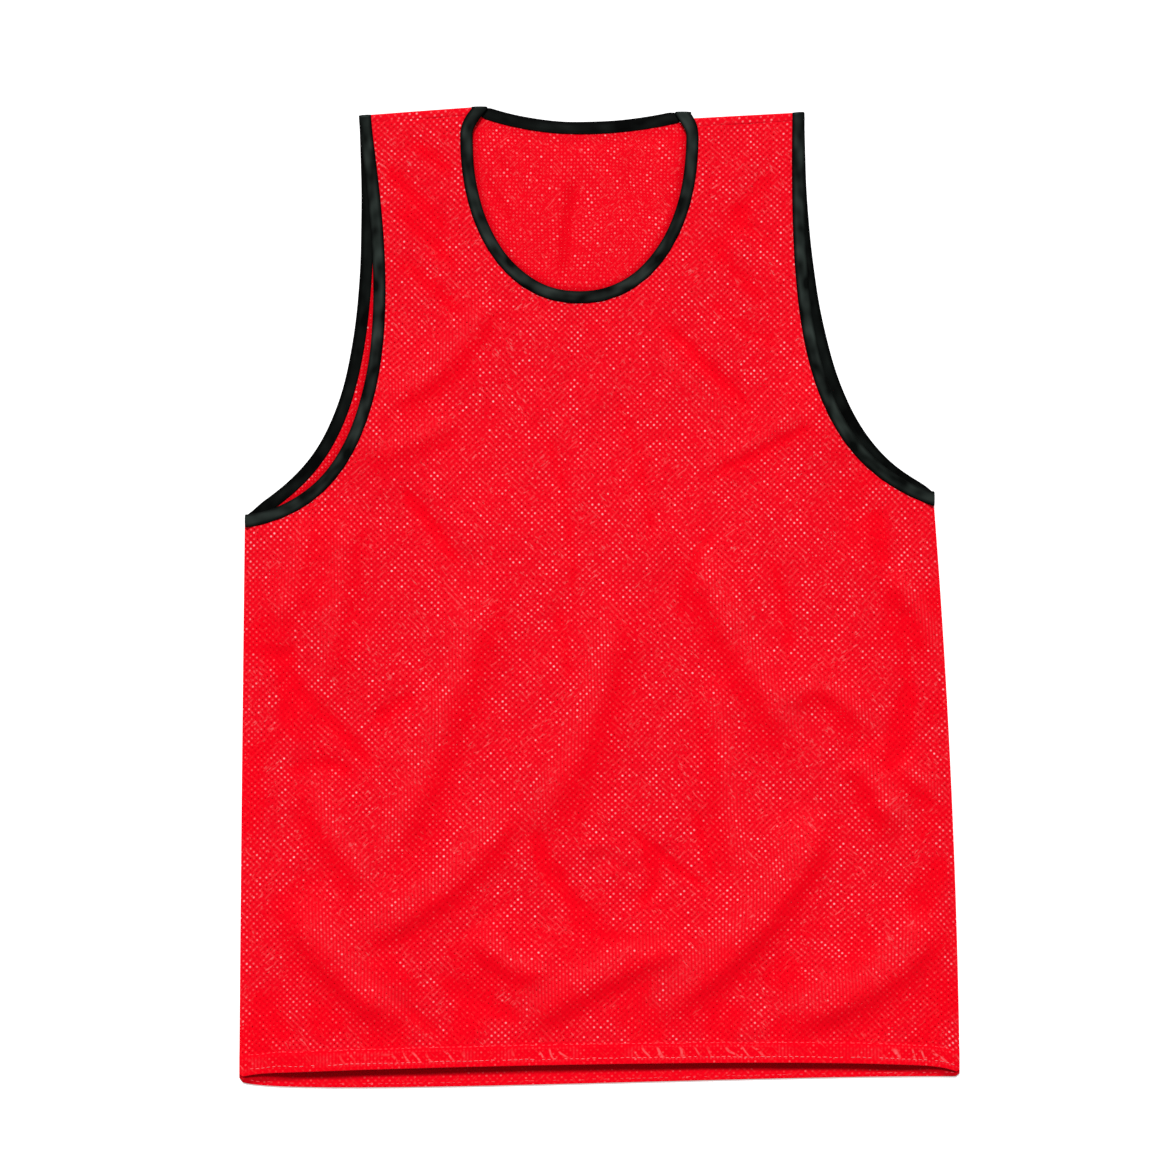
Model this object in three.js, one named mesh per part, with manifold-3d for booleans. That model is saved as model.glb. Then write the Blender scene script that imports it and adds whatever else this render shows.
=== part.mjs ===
// Sleeveless training bib laid flat, front side up.
// Frame: X across the chest (+X is the right of the laid garment as seen from above), Y from the
// hem up to the shoulders, Z up from the surface that the back panel lies on. Millimetres.
import * as THREE from 'three';
import { mergeVertices } from 'three/addons/utils/BufferGeometryUtils.js';
import Module from 'manifold-3d';

// ---- Driving dimensions -------------------------------------------------------------------
const CLOTH = 1.0; // wall of one layer of mesh
const SEAM_GAP = 0.3; // clearance between two pieces sewn together
const BINDING = { width: 9.5, thick: 2.0, edge: 0.8 }; // folded tape: width, thickness, rounding
const HEM = { depth: 16, thick: 2.0 }; // turned-up double layer
const FLAP = 7; // how far the back panel wraps over the shoulder fold to its seam
const CLEAR = 2.9; // underside of the front cloth where it just clears the trim of the back
const SEATED = CLOTH + SEAM_GAP; // underside of the front cloth where it is sewn to the back
// How the front cloth lifts off the back: over the body, at the mouth of the hem and at the
// deepest part of each armhole; how it comes down to the side seams; where its folds may start.
const PUFF = { height: 2.9, sideRise: 55, fadesOver: [30, 150] };
const HEM_LIFT = { height: 2.1, reach: 40 };
const ARM_LIFT = { height: 5.0, across: 38, along: 46, at: [[-182, 132], [176, 138]] };
const SEAT = { width: 14, belowUnderarm: [8, 45], aboveHem: [16, 46] };
const FOLD_FREE = { fromSide: 30, aboveHem: [-6, 40] };
const PANEL_GRID = 15.5; // spacing of the front panel's sections
const PANEL_BOTTOM = -344; // level of the front panel's lowest section before it follows the hem
const CURVE_STEPS = 14; // stations along one layer of an armhole or the back neck
const SCOOP_STEPS = 24; // stations round the front scoop
const HEM_STEPS = 24; // stations along each hem line
const SIDE_STEPS = 12; // stations along each side seam of the back panel
const FOLD_STEPS = 5; // stations round each turned-over end of a binding
const ARM_TURN = 24; // length over which an armhole tape turns to lie along its end folds

// Side seams, from the underarm down to the hem: a quadratic curve through three named points.
const SIDES = {
  left: { underarm: [-272.6, 60], pull: [-275.2, -110], hem: [-277, -368] },
  right: { underarm: [257, 72], pull: [274, -110], hem: [277, -366] },
};

// Shoulder folds: where the cloth turns over from back to front, at each end of the strap.
const SHOULDERS = {
  left: { armhole: [-175.5, 370.6], neck: [-99.2, 376.4], bindingTop: 376.6 },
  right: { armhole: [148, 372], neck: [73.6, 367.9], bindingTop: 372.6 },
};

// Armhole seam lines, from the shoulder fold down to the underarm, with the two handles of a
// cubic curve. `outward` is the side of the seam on which the binding lies.
const ARMHOLES = {
  left: {
    outward: -1,
    underarm: [-270.4, 53],
    halfAtUnderarm: 5,
    front: { shoulder: [-175.3, 368.3], upper: [-173.6, 325.4], lower: [-118.7, 76.4] },
    back: { shoulder: [-175.3, 368.3], upper: [-163.2, 119.3], lower: [-213.3, 93.4] },
  },
  right: {
    outward: 1,
    underarm: [254.8, 67.7],
    halfAtUnderarm: 4.4,
    front: { shoulder: [148, 369.8], upper: [145.3, 195.4], lower: [157.7, 105] },
    back: { shoulder: [148, 369.8], upper: [150.2, 96.1], lower: [229.1, 94.2] },
  },
};

// Neck: the front scoop is a rounded-square curve below its widest line and an ellipse above
// it; the back neck is a shallow parabola, steeper towards the left shoulder.
const NECK = {
  centre: -15.5,
  widest: 354,
  halfWidth: 91.5,
  scoop: 129,
  squareness: 2.15,
  upper: 48,
  turnIn: 16, // length over which the tape turns to run along the shoulder fold
  foldSpan: 12.3, // width of the tape along the shoulder fold
  backLow: 355.2,
  backStart: 10, // how far in from the fold the back neck takes its own line
  backTurnIn: 6,
  backRise: { left: 0.0022, right: 0.0015 },
};

// Finished lower edges, from the left corner to the right corner: cubic curves.
const HEM_LINES = {
  front: [[-277, -370], [-185.7, -360.7], [216.9, -350.8], [277, -367]],
  back: [[-277, -371], [-250, -383.9], [129.1, -371.3], [277, -366]],
};

// Folds of the front cloth. Each row is a crest: where its steep side runs (from, via, to),
// its height, and how far it falls away on its gentle and on its steep side. steepOn is 1
// where the steep side lies to the left of the way the row is walked, -1 to the right.
const FOLD_COLUMNS = ['name', 'from', 'via', 'to', 'height', 'gentle', 'steep', 'steepOn'];
const FOLD_ROWS = [
  ['chestLong', [-73, 5], [-111, -103], [-157, -218], 4.0, 42, 16, 1],
  ['middleLong', [27, -3], [10, -91], [-38, -183], 4.0, 40, 16, 1],
  ['lowLeftLong', [-53, -157], [-130, -245], [-184, -272], 4.5, 38, 16, 1],
  ['leftArmUpper', [-80, 228], [-111, 174], [-161, 140], 3.0, 30, 15, 1],
  ['leftArmLower', [-115, 120], [-148, 110], [-180, 97], 2.2, 24, 14, 1],
  ['leftSideUpper', [-192, 90], [-188, 28], [-203, -64], 3.0, 34, 15, 1],
  ['leftSideOuter', [-223, 59], [-225, 20], [-230, -18], 2.2, 24, 14, 1],
  ['rightWaist', [93, -3], [112, -64], [150, -126], 4.0, 36, 16, 1],
  ['rightWaistArc', [146, -87], [177, -83], [208, -118], 3.0, 26, 15, -1],
  ['rightWaistLow', [185, -126], [205, -157], [223, -187], 3.5, 30, 15, -1],
  ['lowRightDeep', [181, -168], [131, -249], [77, -318], 6.0, 46, 18, 1],
  ['hemMiddleDeep', [77, -280], [10, -303], [-61, -337], 5.0, 38, 16, 1],
  ['hemMiddleLeft', [-100, -264], [-69, -287], [-34, -295], 3.0, 26, 14, -1],
  ['hemRightDeep', [266, -256], [231, -303], [154, -333], 5.5, 42, 17, 1],
  ['hemLeftDeep', [-246, -241], [-200, -303], [-161, -333], 5.5, 42, 17, -1],
  ['leftWaistLow', [-230, -141], [-207, -203], [-177, -233], 3.0, 30, 15, -1],
  ['rightMiddle', [81, -80], [100, -157], [112, -195], 2.5, 26, 14, 1],
  ['rightChestStreak', [77, 90], [125, 112], [170, 136], 2.5, 22, 14, -1],
  ['rightShoulderStreak', [39, 213], [78, 175], [116, 136], 2.5, 24, 14, 1],
];

const FINISH = {
  mesh: { color: 0xe3001b, roughness: 0.62, metalness: 0 },
  tape: { color: 0x161a1a, roughness: 0.42, metalness: 0 },
};

const wasm = await Module();
wasm.setup();

// ---- Levels of the binding tape -------------------------------------------------------------
const FRONT_MIDDLE = CLOTH / 2; // middle of the tape above the front cloth's underside
const BACK_MIDDLE = BINDING.thick / 2;
const TURN_RADIUS = (CLEAR + FRONT_MIDDLE - BACK_MIDDLE) / 2;
const TURN_REACH = TURN_RADIUS + BINDING.thick / 2; // how far a turned-over end stands out

// ---- Plane curves ---------------------------------------------------------------------------
const mix = (a, b, k) => a + (b - a) * k;
const mixPoint = (a, b, k) => [mix(a[0], b[0], k), mix(a[1], b[1], k)];
const clamp01 = (k) => Math.min(1, Math.max(0, k));
const smooth = (low, high, value) => {
  const k = clamp01((value - low) / (high - low));
  return k * k * (3 - 2 * k);
};

function cubicPoint([a, b, c, d], t) {
  const ab = mixPoint(a, b, t);
  const bc = mixPoint(b, c, t);
  const cd = mixPoint(c, d, t);
  return mixPoint(mixPoint(ab, bc, t), mixPoint(bc, cd, t), t);
}

// A quadratic curve that passes through `via` half way along.
function throughPoint(from, via, to, t) {
  const pull = [0, 1].map((i) => 2 * via[i] - (from[i] + to[i]) / 2);
  return mixPoint(mixPoint(from, pull, t), mixPoint(pull, to, t), t);
}

const sample = (steps, pointAt) => Array.from({ length: steps + 1 }, (_, i) => pointAt(i / steps));

// Unit normals of an open line, turned to the left of its direction.
function leftNormals(line) {
  return line.map((_, i) => {
    const a = line[Math.max(0, i - 1)];
    const b = line[Math.min(line.length - 1, i + 1)];
    const length = Math.hypot(b[0] - a[0], b[1] - a[1]);
    return [-(b[1] - a[1]) / length, (b[0] - a[0]) / length];
  });
}

function offsetLine(line, distance) {
  const normals = leftNormals(line);
  return line.map((p, i) => [p[0] + normals[i][0] * distance, p[1] + normals[i][1] * distance]);
}

// Y of a line at a given X, for lines that run across the bib from left to right.
function heightAt(line, x) {
  for (let i = 1; i < line.length; i += 1) {
    const [a, b] = [line[i - 1], line[i]];
    if (x <= b[0] || i === line.length - 1) return mix(a[1], b[1], (x - a[0]) / (b[0] - a[0]));
  }
  return line[0][1];
}

// X of a side seam at a given Y; above the underarm it carries on straight up.
function sideAt({ underarm, pull, hem }, y) {
  const t = clamp01((underarm[1] - y) / (underarm[1] - hem[1]));
  return mix(mix(underarm[0], pull[0], t), mix(pull[0], hem[0], t), t);
}

const hemLine = {
  front: sample(HEM_STEPS, (t) => cubicPoint(HEM_LINES.front, t)),
  back: sample(HEM_STEPS, (t) => cubicPoint(HEM_LINES.back, t)),
};
const frontHemSeam = (x) => heightAt(hemLine.front, x) + HEM.depth;

const armholeSeam = (side, layer) => {
  const { underarm } = ARMHOLES[side];
  const row = ARMHOLES[side][layer];
  return sample(CURVE_STEPS, (t) => cubicPoint([row.shoulder, row.upper, row.lower, underarm], t));
};

// Half width of the front neck at a given Y.
function neckHalfWidth(y) {
  const rise = y - NECK.widest;
  if (rise > 0) return NECK.halfWidth * Math.sqrt(1 - (rise / NECK.upper) ** 2);
  const depth = clamp01(-rise / NECK.scoop);
  return NECK.halfWidth * (1 - depth ** NECK.squareness) ** (1 / NECK.squareness);
}

// Front neck seam from the left shoulder, down round the scoop, to the right shoulder.
function frontNeckSeam() {
  const tops = ['left', 'right'].map((side) => SHOULDERS[side].bindingTop - TURN_REACH);
  const power = 2 / NECK.squareness;
  const upper = (side, top) => sample(3, (t) => {
    const y = mix(top, NECK.widest + NECK.upper / 8, t);
    return [NECK.centre + side * neckHalfWidth(y), y];
  });
  const scoop = sample(SCOOP_STEPS, (t) => {
    const [c, s] = [Math.cos(Math.PI * t), Math.sin(Math.PI * t)];
    const across = Math.sign(c) * Math.abs(c) ** power;
    return [NECK.centre - NECK.halfWidth * across, NECK.widest - NECK.scoop * s ** power];
  });
  return [...upper(-1, tops[0]), ...scoop, ...upper(1, tops[1]).reverse()];
}

// Back neck seam (the lower edge of its tape) from the left shoulder to the right.
function backNeckSeam(front) {
  const ends = [front[0], front[front.length - 1]];
  const middle = sample(CURVE_STEPS, (t) => {
    const x = mix(ends[0][0] + NECK.backStart, ends[1][0] - NECK.backStart, t);
    const rise = x < NECK.centre ? NECK.backRise.left : NECK.backRise.right;
    return [x, NECK.backLow + rise * (x - NECK.centre) ** 2];
  });
  return [ends[0], ...middle, ends[1]];
}

// ---- Height of the front cloth --------------------------------------------------------------
// Nearest place on a fold: how far along it (0 to 1) and the distance, positive on its left.
function placeOnFold(fold, x, y) {
  let best = { distance: Infinity, along: 0, signed: 0 };
  fold.line.forEach((b, i) => {
    if (i === 0) return;
    const a = fold.line[i - 1];
    const [dx, dy] = [b[0] - a[0], b[1] - a[1]];
    const k = clamp01(((x - a[0]) * dx + (y - a[1]) * dy) / (dx * dx + dy * dy));
    const [ox, oy] = [x - a[0] - k * dx, y - a[1] - k * dy];
    const distance = Math.hypot(ox, oy);
    if (distance < best.distance) {
      const signed = dx * oy - dy * ox < 0 ? -distance : distance;
      best = { distance, along: (i - 1 + k) / (fold.line.length - 1), signed };
    }
  });
  return best;
}

const FOLD_SEGMENTS = 10;
const FOLD_TAPER = 0.35; // share of the length over which a fold dies out at each end
const CREST_SHIFT = 0.7; // the crest stands this many steep widths behind the steep side
const folds = FOLD_ROWS.map((row) => {
  const fold = Object.fromEntries(FOLD_COLUMNS.map((column, i) => [column, row[i]]));
  fold.line = sample(FOLD_SEGMENTS, (t) => throughPoint(fold.from, fold.via, fold.to, t));
  return fold;
});

function foldHeight(x, y) {
  return folds.reduce((sum, fold) => {
    const { along, signed } = placeOnFold(fold, x, y);
    const fromCrest = signed * fold.steepOn + CREST_SHIFT * fold.steep;
    const width = fromCrest < 0 ? fold.gentle : fold.steep;
    const taper = smooth(0, FOLD_TAPER, along) * smooth(0, FOLD_TAPER, 1 - along);
    return sum + fold.height * taper * Math.exp(-((fromCrest / width) ** 2));
  }, 0);
}

// Underside of the front cloth: seated on the back along the side seams, just clear of the
// trim at armholes, neck and shoulders, puffed over the body, lifted at the mouth of the hem
// and at the deepest part of each armhole.
function underside(x, y) {
  const underarmY = SIDES.left.underarm[1];
  const aboveHem = y - (frontHemSeam(x) - HEM.depth);
  const fromSide = Math.max(0, Math.min(x - sideAt(SIDES.left, y), sideAt(SIDES.right, y) - x));
  const body = smooth(0, PUFF.sideRise, fromSide) * (1 - smooth(...PUFF.fadesOver, y));
  const seated = smooth(...SEAT.belowUnderarm, underarmY - y) * smooth(...SEAT.aboveHem, aboveHem);
  const edge = mix(mix(CLEAR, SEATED, seated), CLEAR, smooth(0, SEAT.width, fromSide));
  const mouth = HEM_LIFT.height * body * Math.exp(-Math.max(0, aboveHem) / HEM_LIFT.reach);
  const arms = ARM_LIFT.at.reduce((sum, [cx, cy]) => {
    const [u, v] = [(x - cx) / ARM_LIFT.across, (y - cy) / ARM_LIFT.along];
    return sum + ARM_LIFT.height * Math.exp(-u * u - v * v);
  }, 0);
  const free = Math.min(1, fromSide / FOLD_FREE.fromSide) * smooth(...FOLD_FREE.aboveHem, aboveHem);
  return edge + PUFF.height * body + mouth + arms + free * foldHeight(x, y);
}

// ---- Solids ---------------------------------------------------------------------------------
function geometryFrom(positions, triangles) {
  const geometry = new THREE.BufferGeometry();
  geometry.setAttribute('position', new THREE.Float32BufferAttribute(positions.flat(), 3));
  geometry.setIndex(triangles.flat());
  return geometry;
}

function toSolid(geometry) {
  const bare = geometry.clone();
  bare.deleteAttribute('normal');
  bare.deleteAttribute('uv');
  const merged = mergeVertices(bare, 1e-4);
  return new wasm.Manifold(new wasm.Mesh({
    numProp: 3,
    vertProperties: new Float32Array(merged.attributes.position.array),
    triVerts: new Uint32Array(merged.index.array),
  }));
}

function toGeometry(solid) {
  const { vertProperties, triVerts, numProp } = solid.getMesh();
  const positions = [];
  for (let i = 0; i < vertProperties.length; i += numProp) {
    positions.push([...vertProperties.slice(i, i + 3)]);
  }
  return geometryFrom(positions, [...triVerts]);
}

// A flat piece: an outline in plan, from one level up to another.
function plate(outline, bottom, top) {
  const shape = new THREE.Shape(outline.map(([x, y]) => new THREE.Vector2(x, y)));
  const geometry = new THREE.ExtrudeGeometry(shape, { depth: top - bottom, bevelEnabled: false });
  geometry.translate(0, 0, bottom);
  return toSolid(geometry);
}

// A sheet over a grid of plan points: rows[j][i] = [x, y, underside], given a wall thickness.
function sheet(rows, wall) {
  const across = rows[0].length;
  const below = rows.flat().map(([x, y, z]) => [x, y, z]);
  const above = rows.flat().map(([x, y, z]) => [x, y, z + wall]);
  const lift = below.length;
  const triangles = [];
  const quad = (a, b, c, d) => triangles.push(a, b, c, a, c, d);
  for (let j = 0; j + 1 < rows.length; j += 1) {
    for (let i = 0; i + 1 < across; i += 1) {
      const a = j * across + i;
      const [b, c, d] = [a + 1, a + across + 1, a + across];
      quad(a + lift, b + lift, c + lift, d + lift);
      quad(a, d, c, b);
    }
  }
  const last = (rows.length - 1) * across;
  for (let i = 0; i + 1 < across; i += 1) {
    quad(i, i + 1, i + 1 + lift, i + lift);
    quad(last + i + 1, last + i, last + i + lift, last + i + 1 + lift);
  }
  for (let j = 0; j + 1 < rows.length; j += 1) {
    const [a, b] = [j * across, (j + 1) * across];
    quad(b, a, a + lift, b + lift);
    quad(a + across - 1, b + across - 1, b + across - 1 + lift, a + across - 1 + lift);
  }
  return geometryFrom([...below, ...above], triangles);
}

// A closed loop of folded tape. Each station has its middle, the vector to its free edge (as
// long as half the tape is wide there) and the unit vector out of its upper face.
function tapeLoop(stations) {
  const half = BINDING.thick / 2;
  const inset = 1 - (2 * BINDING.edge) / BINDING.width;
  const section = [
    [1, -0.45], [1, 0.45], [inset, 1], [-inset, 1], [-1, 0.45], [-1, -0.45], [-inset, -1], [inset, -1],
  ];
  const positions = stations.flatMap(({ middle, wide, up }) => section.map(([u, v]) => (
    middle.clone().addScaledVector(wide, u).addScaledVector(up, v * half).toArray())));
  const triangles = [];
  stations.forEach((_, i) => {
    const next = (i + 1) % stations.length;
    section.forEach((__, k) => {
      const after = (k + 1) % section.length;
      const [a, b] = [i * section.length + k, i * section.length + after];
      const [c, d] = [next * section.length + after, next * section.length + k];
      triangles.push(a, b, c, a, c, d);
    });
  });
  const solid = toSolid(geometryFrom(positions, triangles));
  return solid.volume() > 0 ? solid : toSolid(geometryFrom(positions, [...triangles].reverse()));
}

// Stations of one layer of a binding between its two ends: seam points, free-edge points, the
// level of its middle, and whether its outer face looks up (1) or down (-1).
function layerStations(seam, free, levelAt, facing) {
  return seam.map((p, i) => {
    const middle = mixPoint(p, free[i], 0.5);
    const wide = new THREE.Vector3((free[i][0] - p[0]) / 2, (free[i][1] - p[1]) / 2, 0);
    const level = levelAt(...mixPoint(p, middle, 0.5));
    return { middle: new THREE.Vector3(...middle, level), wide, up: new THREE.Vector3(0, 0, facing) };
  });
}

// Stations round a turned-over end, from the upper layer down to the lower one.
function turnStations(station, outward) {
  const top = CLEAR + FRONT_MIDDLE;
  return sample(FOLD_STEPS + 1, (t) => {
    const angle = Math.PI * t;
    const up = outward.clone().multiplyScalar(Math.sin(angle));
    up.z = Math.cos(angle);
    const middle = station.middle.clone().addScaledVector(outward, TURN_RADIUS * Math.sin(angle));
    middle.z = top - TURN_RADIUS + TURN_RADIUS * Math.cos(angle);
    return { middle, wide: station.wide.clone(), up };
  }).slice(1, -1);
}

// Free edge of a binding, turned so that each end lies along the fold it turns over.
function freeEdge(seam, side, startSpan, endSpan, turnIn) {
  const normals = leftNormals(seam);
  const last = seam.length - 1;
  let run = 0;
  const along = seam.map((p, i) => {
    if (i > 0) run += Math.hypot(p[0] - seam[i - 1][0], p[1] - seam[i - 1][1]);
    return run;
  });
  return seam.map((p, i) => {
    const normal = normals[i].map((v) => v * side * BINDING.width);
    const atStart = 1 - smooth(0, turnIn, along[i]);
    const atEnd = 1 - smooth(0, turnIn, along[last] - along[i]);
    const turned = mixPoint(mixPoint(normal, startSpan, atStart), endSpan, atEnd);
    return [p[0] + turned[0], p[1] + turned[1]];
  });
}

const cross = (from, to, length) => {
  const run = Math.hypot(to[0] - from[0], to[1] - from[1]);
  return [((to[0] - from[0]) / run) * length, ((to[1] - from[1]) / run) * length];
};
const squareTo = (span) => new THREE.Vector3(-span[1], span[0], 0).normalize();

function armholeBinding(side) {
  const { outward, halfAtUnderarm } = ARMHOLES[side];
  const { armhole, neck } = SHOULDERS[side];
  const shoulderSpan = cross(neck, armhole, BINDING.width);
  const underarmSpan = [0, 2 * halfAtUnderarm];
  const layer = (name, levelAt, facing) => {
    const seam = armholeSeam(side, name);
    const free = freeEdge(seam, outward, shoulderSpan, underarmSpan, ARM_TURN);
    return layerStations(seam, free, levelAt, facing);
  };
  const front = layer('front', (x, y) => underside(x, y) + FRONT_MIDDLE, 1);
  const back = layer('back', () => BACK_MIDDLE, -1);
  const shoulderOut = squareTo(shoulderSpan).multiplyScalar(outward);
  const ends = [front[0], front[front.length - 1]];
  ends.forEach((station) => { station.middle.z = CLEAR + FRONT_MIDDLE; });
  return tapeLoop([
    ...front,
    ...turnStations(ends[1], new THREE.Vector3(outward, 0, 0)),
    ...back.reverse(),
    ...turnStations(ends[0], shoulderOut.y > 0 ? shoulderOut : shoulderOut.negate()).reverse(),
  ]);
}

function neckBinding() {
  const seam = frontNeckSeam();
  const spans = [[NECK.foldSpan, 0], [-NECK.foldSpan, 0]];
  const front = layerStations(seam, freeEdge(seam, 1, spans[0], spans[1], NECK.turnIn),
    (x, y) => underside(x, y) + FRONT_MIDDLE, 1);
  const backSeam = backNeckSeam(seam);
  const back = layerStations(backSeam, freeEdge(backSeam, 1, spans[0], spans[1], NECK.backTurnIn),
    () => BACK_MIDDLE, -1);
  [front[0], front[front.length - 1]].forEach((s) => { s.middle.z = CLEAR + FRONT_MIDDLE; });
  const up = new THREE.Vector3(0, 1, 0);
  return tapeLoop([
    ...front,
    ...turnStations(front[front.length - 1], up),
    ...back.reverse(),
    ...turnStations(front[0], up).reverse(),
  ]);
}

// ---- Panels ---------------------------------------------------------------------------------
const neckSeam = frontNeckSeam();

// Sections across the front, as shares of its width: close together at the side seams.
const CHEST = 548;
const halfSections = [0, 6, 15];
for (let x = 30; x < CHEST / 2 - 4; x += PANEL_GRID) halfSections.push(x);
const COLUMNS = [
  ...halfSections.map((x) => x / CHEST),
  0.5,
  ...halfSections.map((x) => 1 - x / CHEST).reverse(),
];
const acrossAt = (y, share) => mix(sideAt(SIDES.left, y), sideAt(SIDES.right, y), share);

// Shoulder seam and fold of one strap, as seen from above, moved down from the fold.
const strapLine = (side, down) => [SHOULDERS[side].armhole, SHOULDERS[side].neck]
  .map(([x, y]) => [x, y - down]);

const above = (line, level) => line.filter(([x, y]) => y > level(x));
const below = (line, level) => line.filter(([x, y]) => y < level(x));
const levelOf = ([a, b]) => (x) => mix(a[1], b[1], (x - a[0]) / (b[0] - a[0]));

// Point where a seam line crosses a strap line.
function crossing(line, level) {
  for (let i = 1; i < line.length; i += 1) {
    const [a, b] = [line[i - 1], line[i]];
    const [da, db] = [a[1] - level(a[0]), b[1] - level(b[0])];
    if (da * db <= 0) return mixPoint(a, b, da / (da - db));
  }
  return line[0];
}

function frontPanel() {
  const steps = Math.round((SHOULDERS.left.neck[1] - PANEL_BOTTOM) / PANEL_GRID);
  const rows = sample(steps, (t) => {
    const level = mix(PANEL_BOTTOM, SHOULDERS.left.neck[1], t);
    return COLUMNS.map((s) => {
      const x = acrossAt(level, s);
      const y = level + (frontHemSeam(x) + SEAM_GAP - PANEL_BOTTOM) * (1 - t) ** 6;
      return [x, y, underside(x, y)];
    });
  });
  const shoulderSeam = (side) => levelOf(strapLine(side, FLAP + SEAM_GAP / 2));
  const cut = (side) => {
    const seam = offsetLine(armholeSeam(side, 'front'), -ARMHOLES[side].outward * SEAM_GAP);
    const level = shoulderSeam(side);
    return [crossing(seam, level), ...below(seam, level)];
  };
  const neck = offsetLine(neckSeam, -SEAM_GAP);
  const half = Math.round(neck.length / 2);
  const levels = { left: shoulderSeam('left'), right: shoulderSeam('right') };
  const [neckLeft, neckRight] = [neck.slice(0, half), neck.slice(half)];
  const outline = [
    [-400, -500],
    [-400, ARMHOLES.left.underarm[1] - SEAM_GAP],
    ...cut('left').reverse(),
    crossing(neckLeft, levels.left),
    ...below(neckLeft, levels.left),
    ...below(neckRight, levels.right),
    crossing(neckRight, levels.right),
    ...cut('right'),
    [400, ARMHOLES.right.underarm[1] - SEAM_GAP],
    [400, -500],
  ];
  return toSolid(sheet(rows, CLOTH)).intersect(plate(outline, -5, 60));
}

// One turned-over shoulder of the back panel: a half tube along the fold and a flap up to
// the shoulder seam.
function shoulderTurn(side) {
  const radius = (CLEAR + CLOTH) / 2;
  const [armhole, neck] = strapLine(side, radius);
  const start = armhole[0] < neck[0] ? armhole : neck;
  const end = armhole[0] < neck[0] ? neck : armhole;
  const angle = Math.atan2(end[1] - start[1], end[0] - start[0]);
  const length = Math.hypot(end[0] - start[0], end[1] - start[1]) - 2 * SEAM_GAP;
  const profile = new THREE.Shape();
  profile.moveTo(-1, -radius);
  profile.lineTo(0, -radius);
  profile.absarc(0, 0, radius, -Math.PI / 2, Math.PI / 2, false);
  profile.lineTo(-1, radius);
  profile.lineTo(-1, radius - CLOTH);
  profile.lineTo(0, radius - CLOTH);
  profile.absarc(0, 0, radius - CLOTH, Math.PI / 2, -Math.PI / 2, true);
  profile.lineTo(-1, -radius + CLOTH);
  const tube = new THREE.ExtrudeGeometry(profile, { depth: length, bevelEnabled: false, curveSegments: 5 });
  // Profile axes to the frame: its X runs out over the fold, its Y up, its depth along the fold.
  const [c, s] = [Math.cos(angle), Math.sin(angle)];
  tube.applyMatrix4(new THREE.Matrix4().set(
    -s, 0, c, start[0] + c * SEAM_GAP,
    c, 0, s, start[1] + s * SEAM_GAP,
    0, 1, 0, radius,
    0, 0, 0, 1,
  ));
  const seamLevel = levelOf(strapLine(side, FLAP - SEAM_GAP / 2));
  const foldLevel = levelOf(strapLine(side, radius + 0.5));
  const between = (line) => [
    crossing(line, seamLevel),
    ...below(above(line, seamLevel), foldLevel),
    crossing(line, foldLevel),
  ].sort((a, b) => a[1] - b[1]);
  const { outward } = ARMHOLES[side];
  const armSide = between(offsetLine(armholeSeam(side, 'front'), -outward * SEAM_GAP));
  const neckSide = between(offsetLine(neckSeam, -SEAM_GAP)
    .filter(([x]) => (x - NECK.centre) * outward > 0));
  const flap = plate([...armSide, ...neckSide.reverse()], CLEAR, CLEAR + CLOTH);
  return toSolid(tube).add(flap);
}

function backPanel() {
  const radius = (CLEAR + CLOTH) / 2;
  const hemSeam = hemLine.back.map(([x, y]) => [x, y + HEM.depth + SEAM_GAP]);
  const side = (name) => sample(SIDE_STEPS, (t) => {
    const seam = SIDES[name];
    const y = mix(hemSeam[0][1], ARMHOLES[name].underarm[1] - SEAM_GAP, t);
    return [sideAt(seam, y), y];
  });
  const armhole = (name) => {
    const seam = offsetLine(armholeSeam(name, 'back'), -ARMHOLES[name].outward * SEAM_GAP);
    const level = levelOf(strapLine(name, radius + 0.5));
    return [crossing(seam, level), ...below(seam, level)];
  };
  const neck = offsetLine(backNeckSeam(neckSeam), -SEAM_GAP);
  const strapEnd = (name) => {
    const level = levelOf(strapLine(name, radius + 0.5));
    const x = SHOULDERS[name].neck[0];
    return [x, level(x)];
  };
  const inner = neck.slice(1, -1);
  const [leftSide, rightSide] = [side('left'), side('right')];
  const leftCorner = [leftSide[0][0], heightAt(hemSeam, leftSide[0][0])];
  const rightCorner = [rightSide[0][0], heightAt(hemSeam, rightSide[0][0])];
  const outline = [
    leftCorner,
    ...leftSide.slice(1),
    ...armhole('left').reverse(),
    strapEnd('left'),
    ...inner,
    strapEnd('right'),
    ...armhole('right'),
    ...rightSide.slice(1).reverse(),
    rightCorner,
    ...hemSeam.slice(1, -1).reverse(),
  ];
  return plate(outline.reverse(), 0, CLOTH).add(shoulderTurn('left')).add(shoulderTurn('right'));
}

function frontHem() {
  const rows = sample(2, (k) => COLUMNS.map((s) => {
    const x = acrossAt(PANEL_BOTTOM, s);
    const y = frontHemSeam(x) - HEM.depth * (1 - k);
    return [x, y, underside(x, y) - (HEM.thick - CLOTH) / 2];
  }));
  return toSolid(sheet(rows, HEM.thick));
}

function backHem() {
  const lower = hemLine.back;
  const upper = lower.map(([x, y]) => [x, y + HEM.depth]);
  return plate([...lower, ...upper.reverse()], 0, HEM.thick);
}

// ---- The garment ----------------------------------------------------------------------------
const bib = new THREE.Group();

function addPiece(name, solid, finish) {
  const mesh = new THREE.Mesh(toGeometry(solid), new THREE.MeshStandardMaterial(finish));
  mesh.name = name;
  bib.add(mesh);
}

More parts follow.
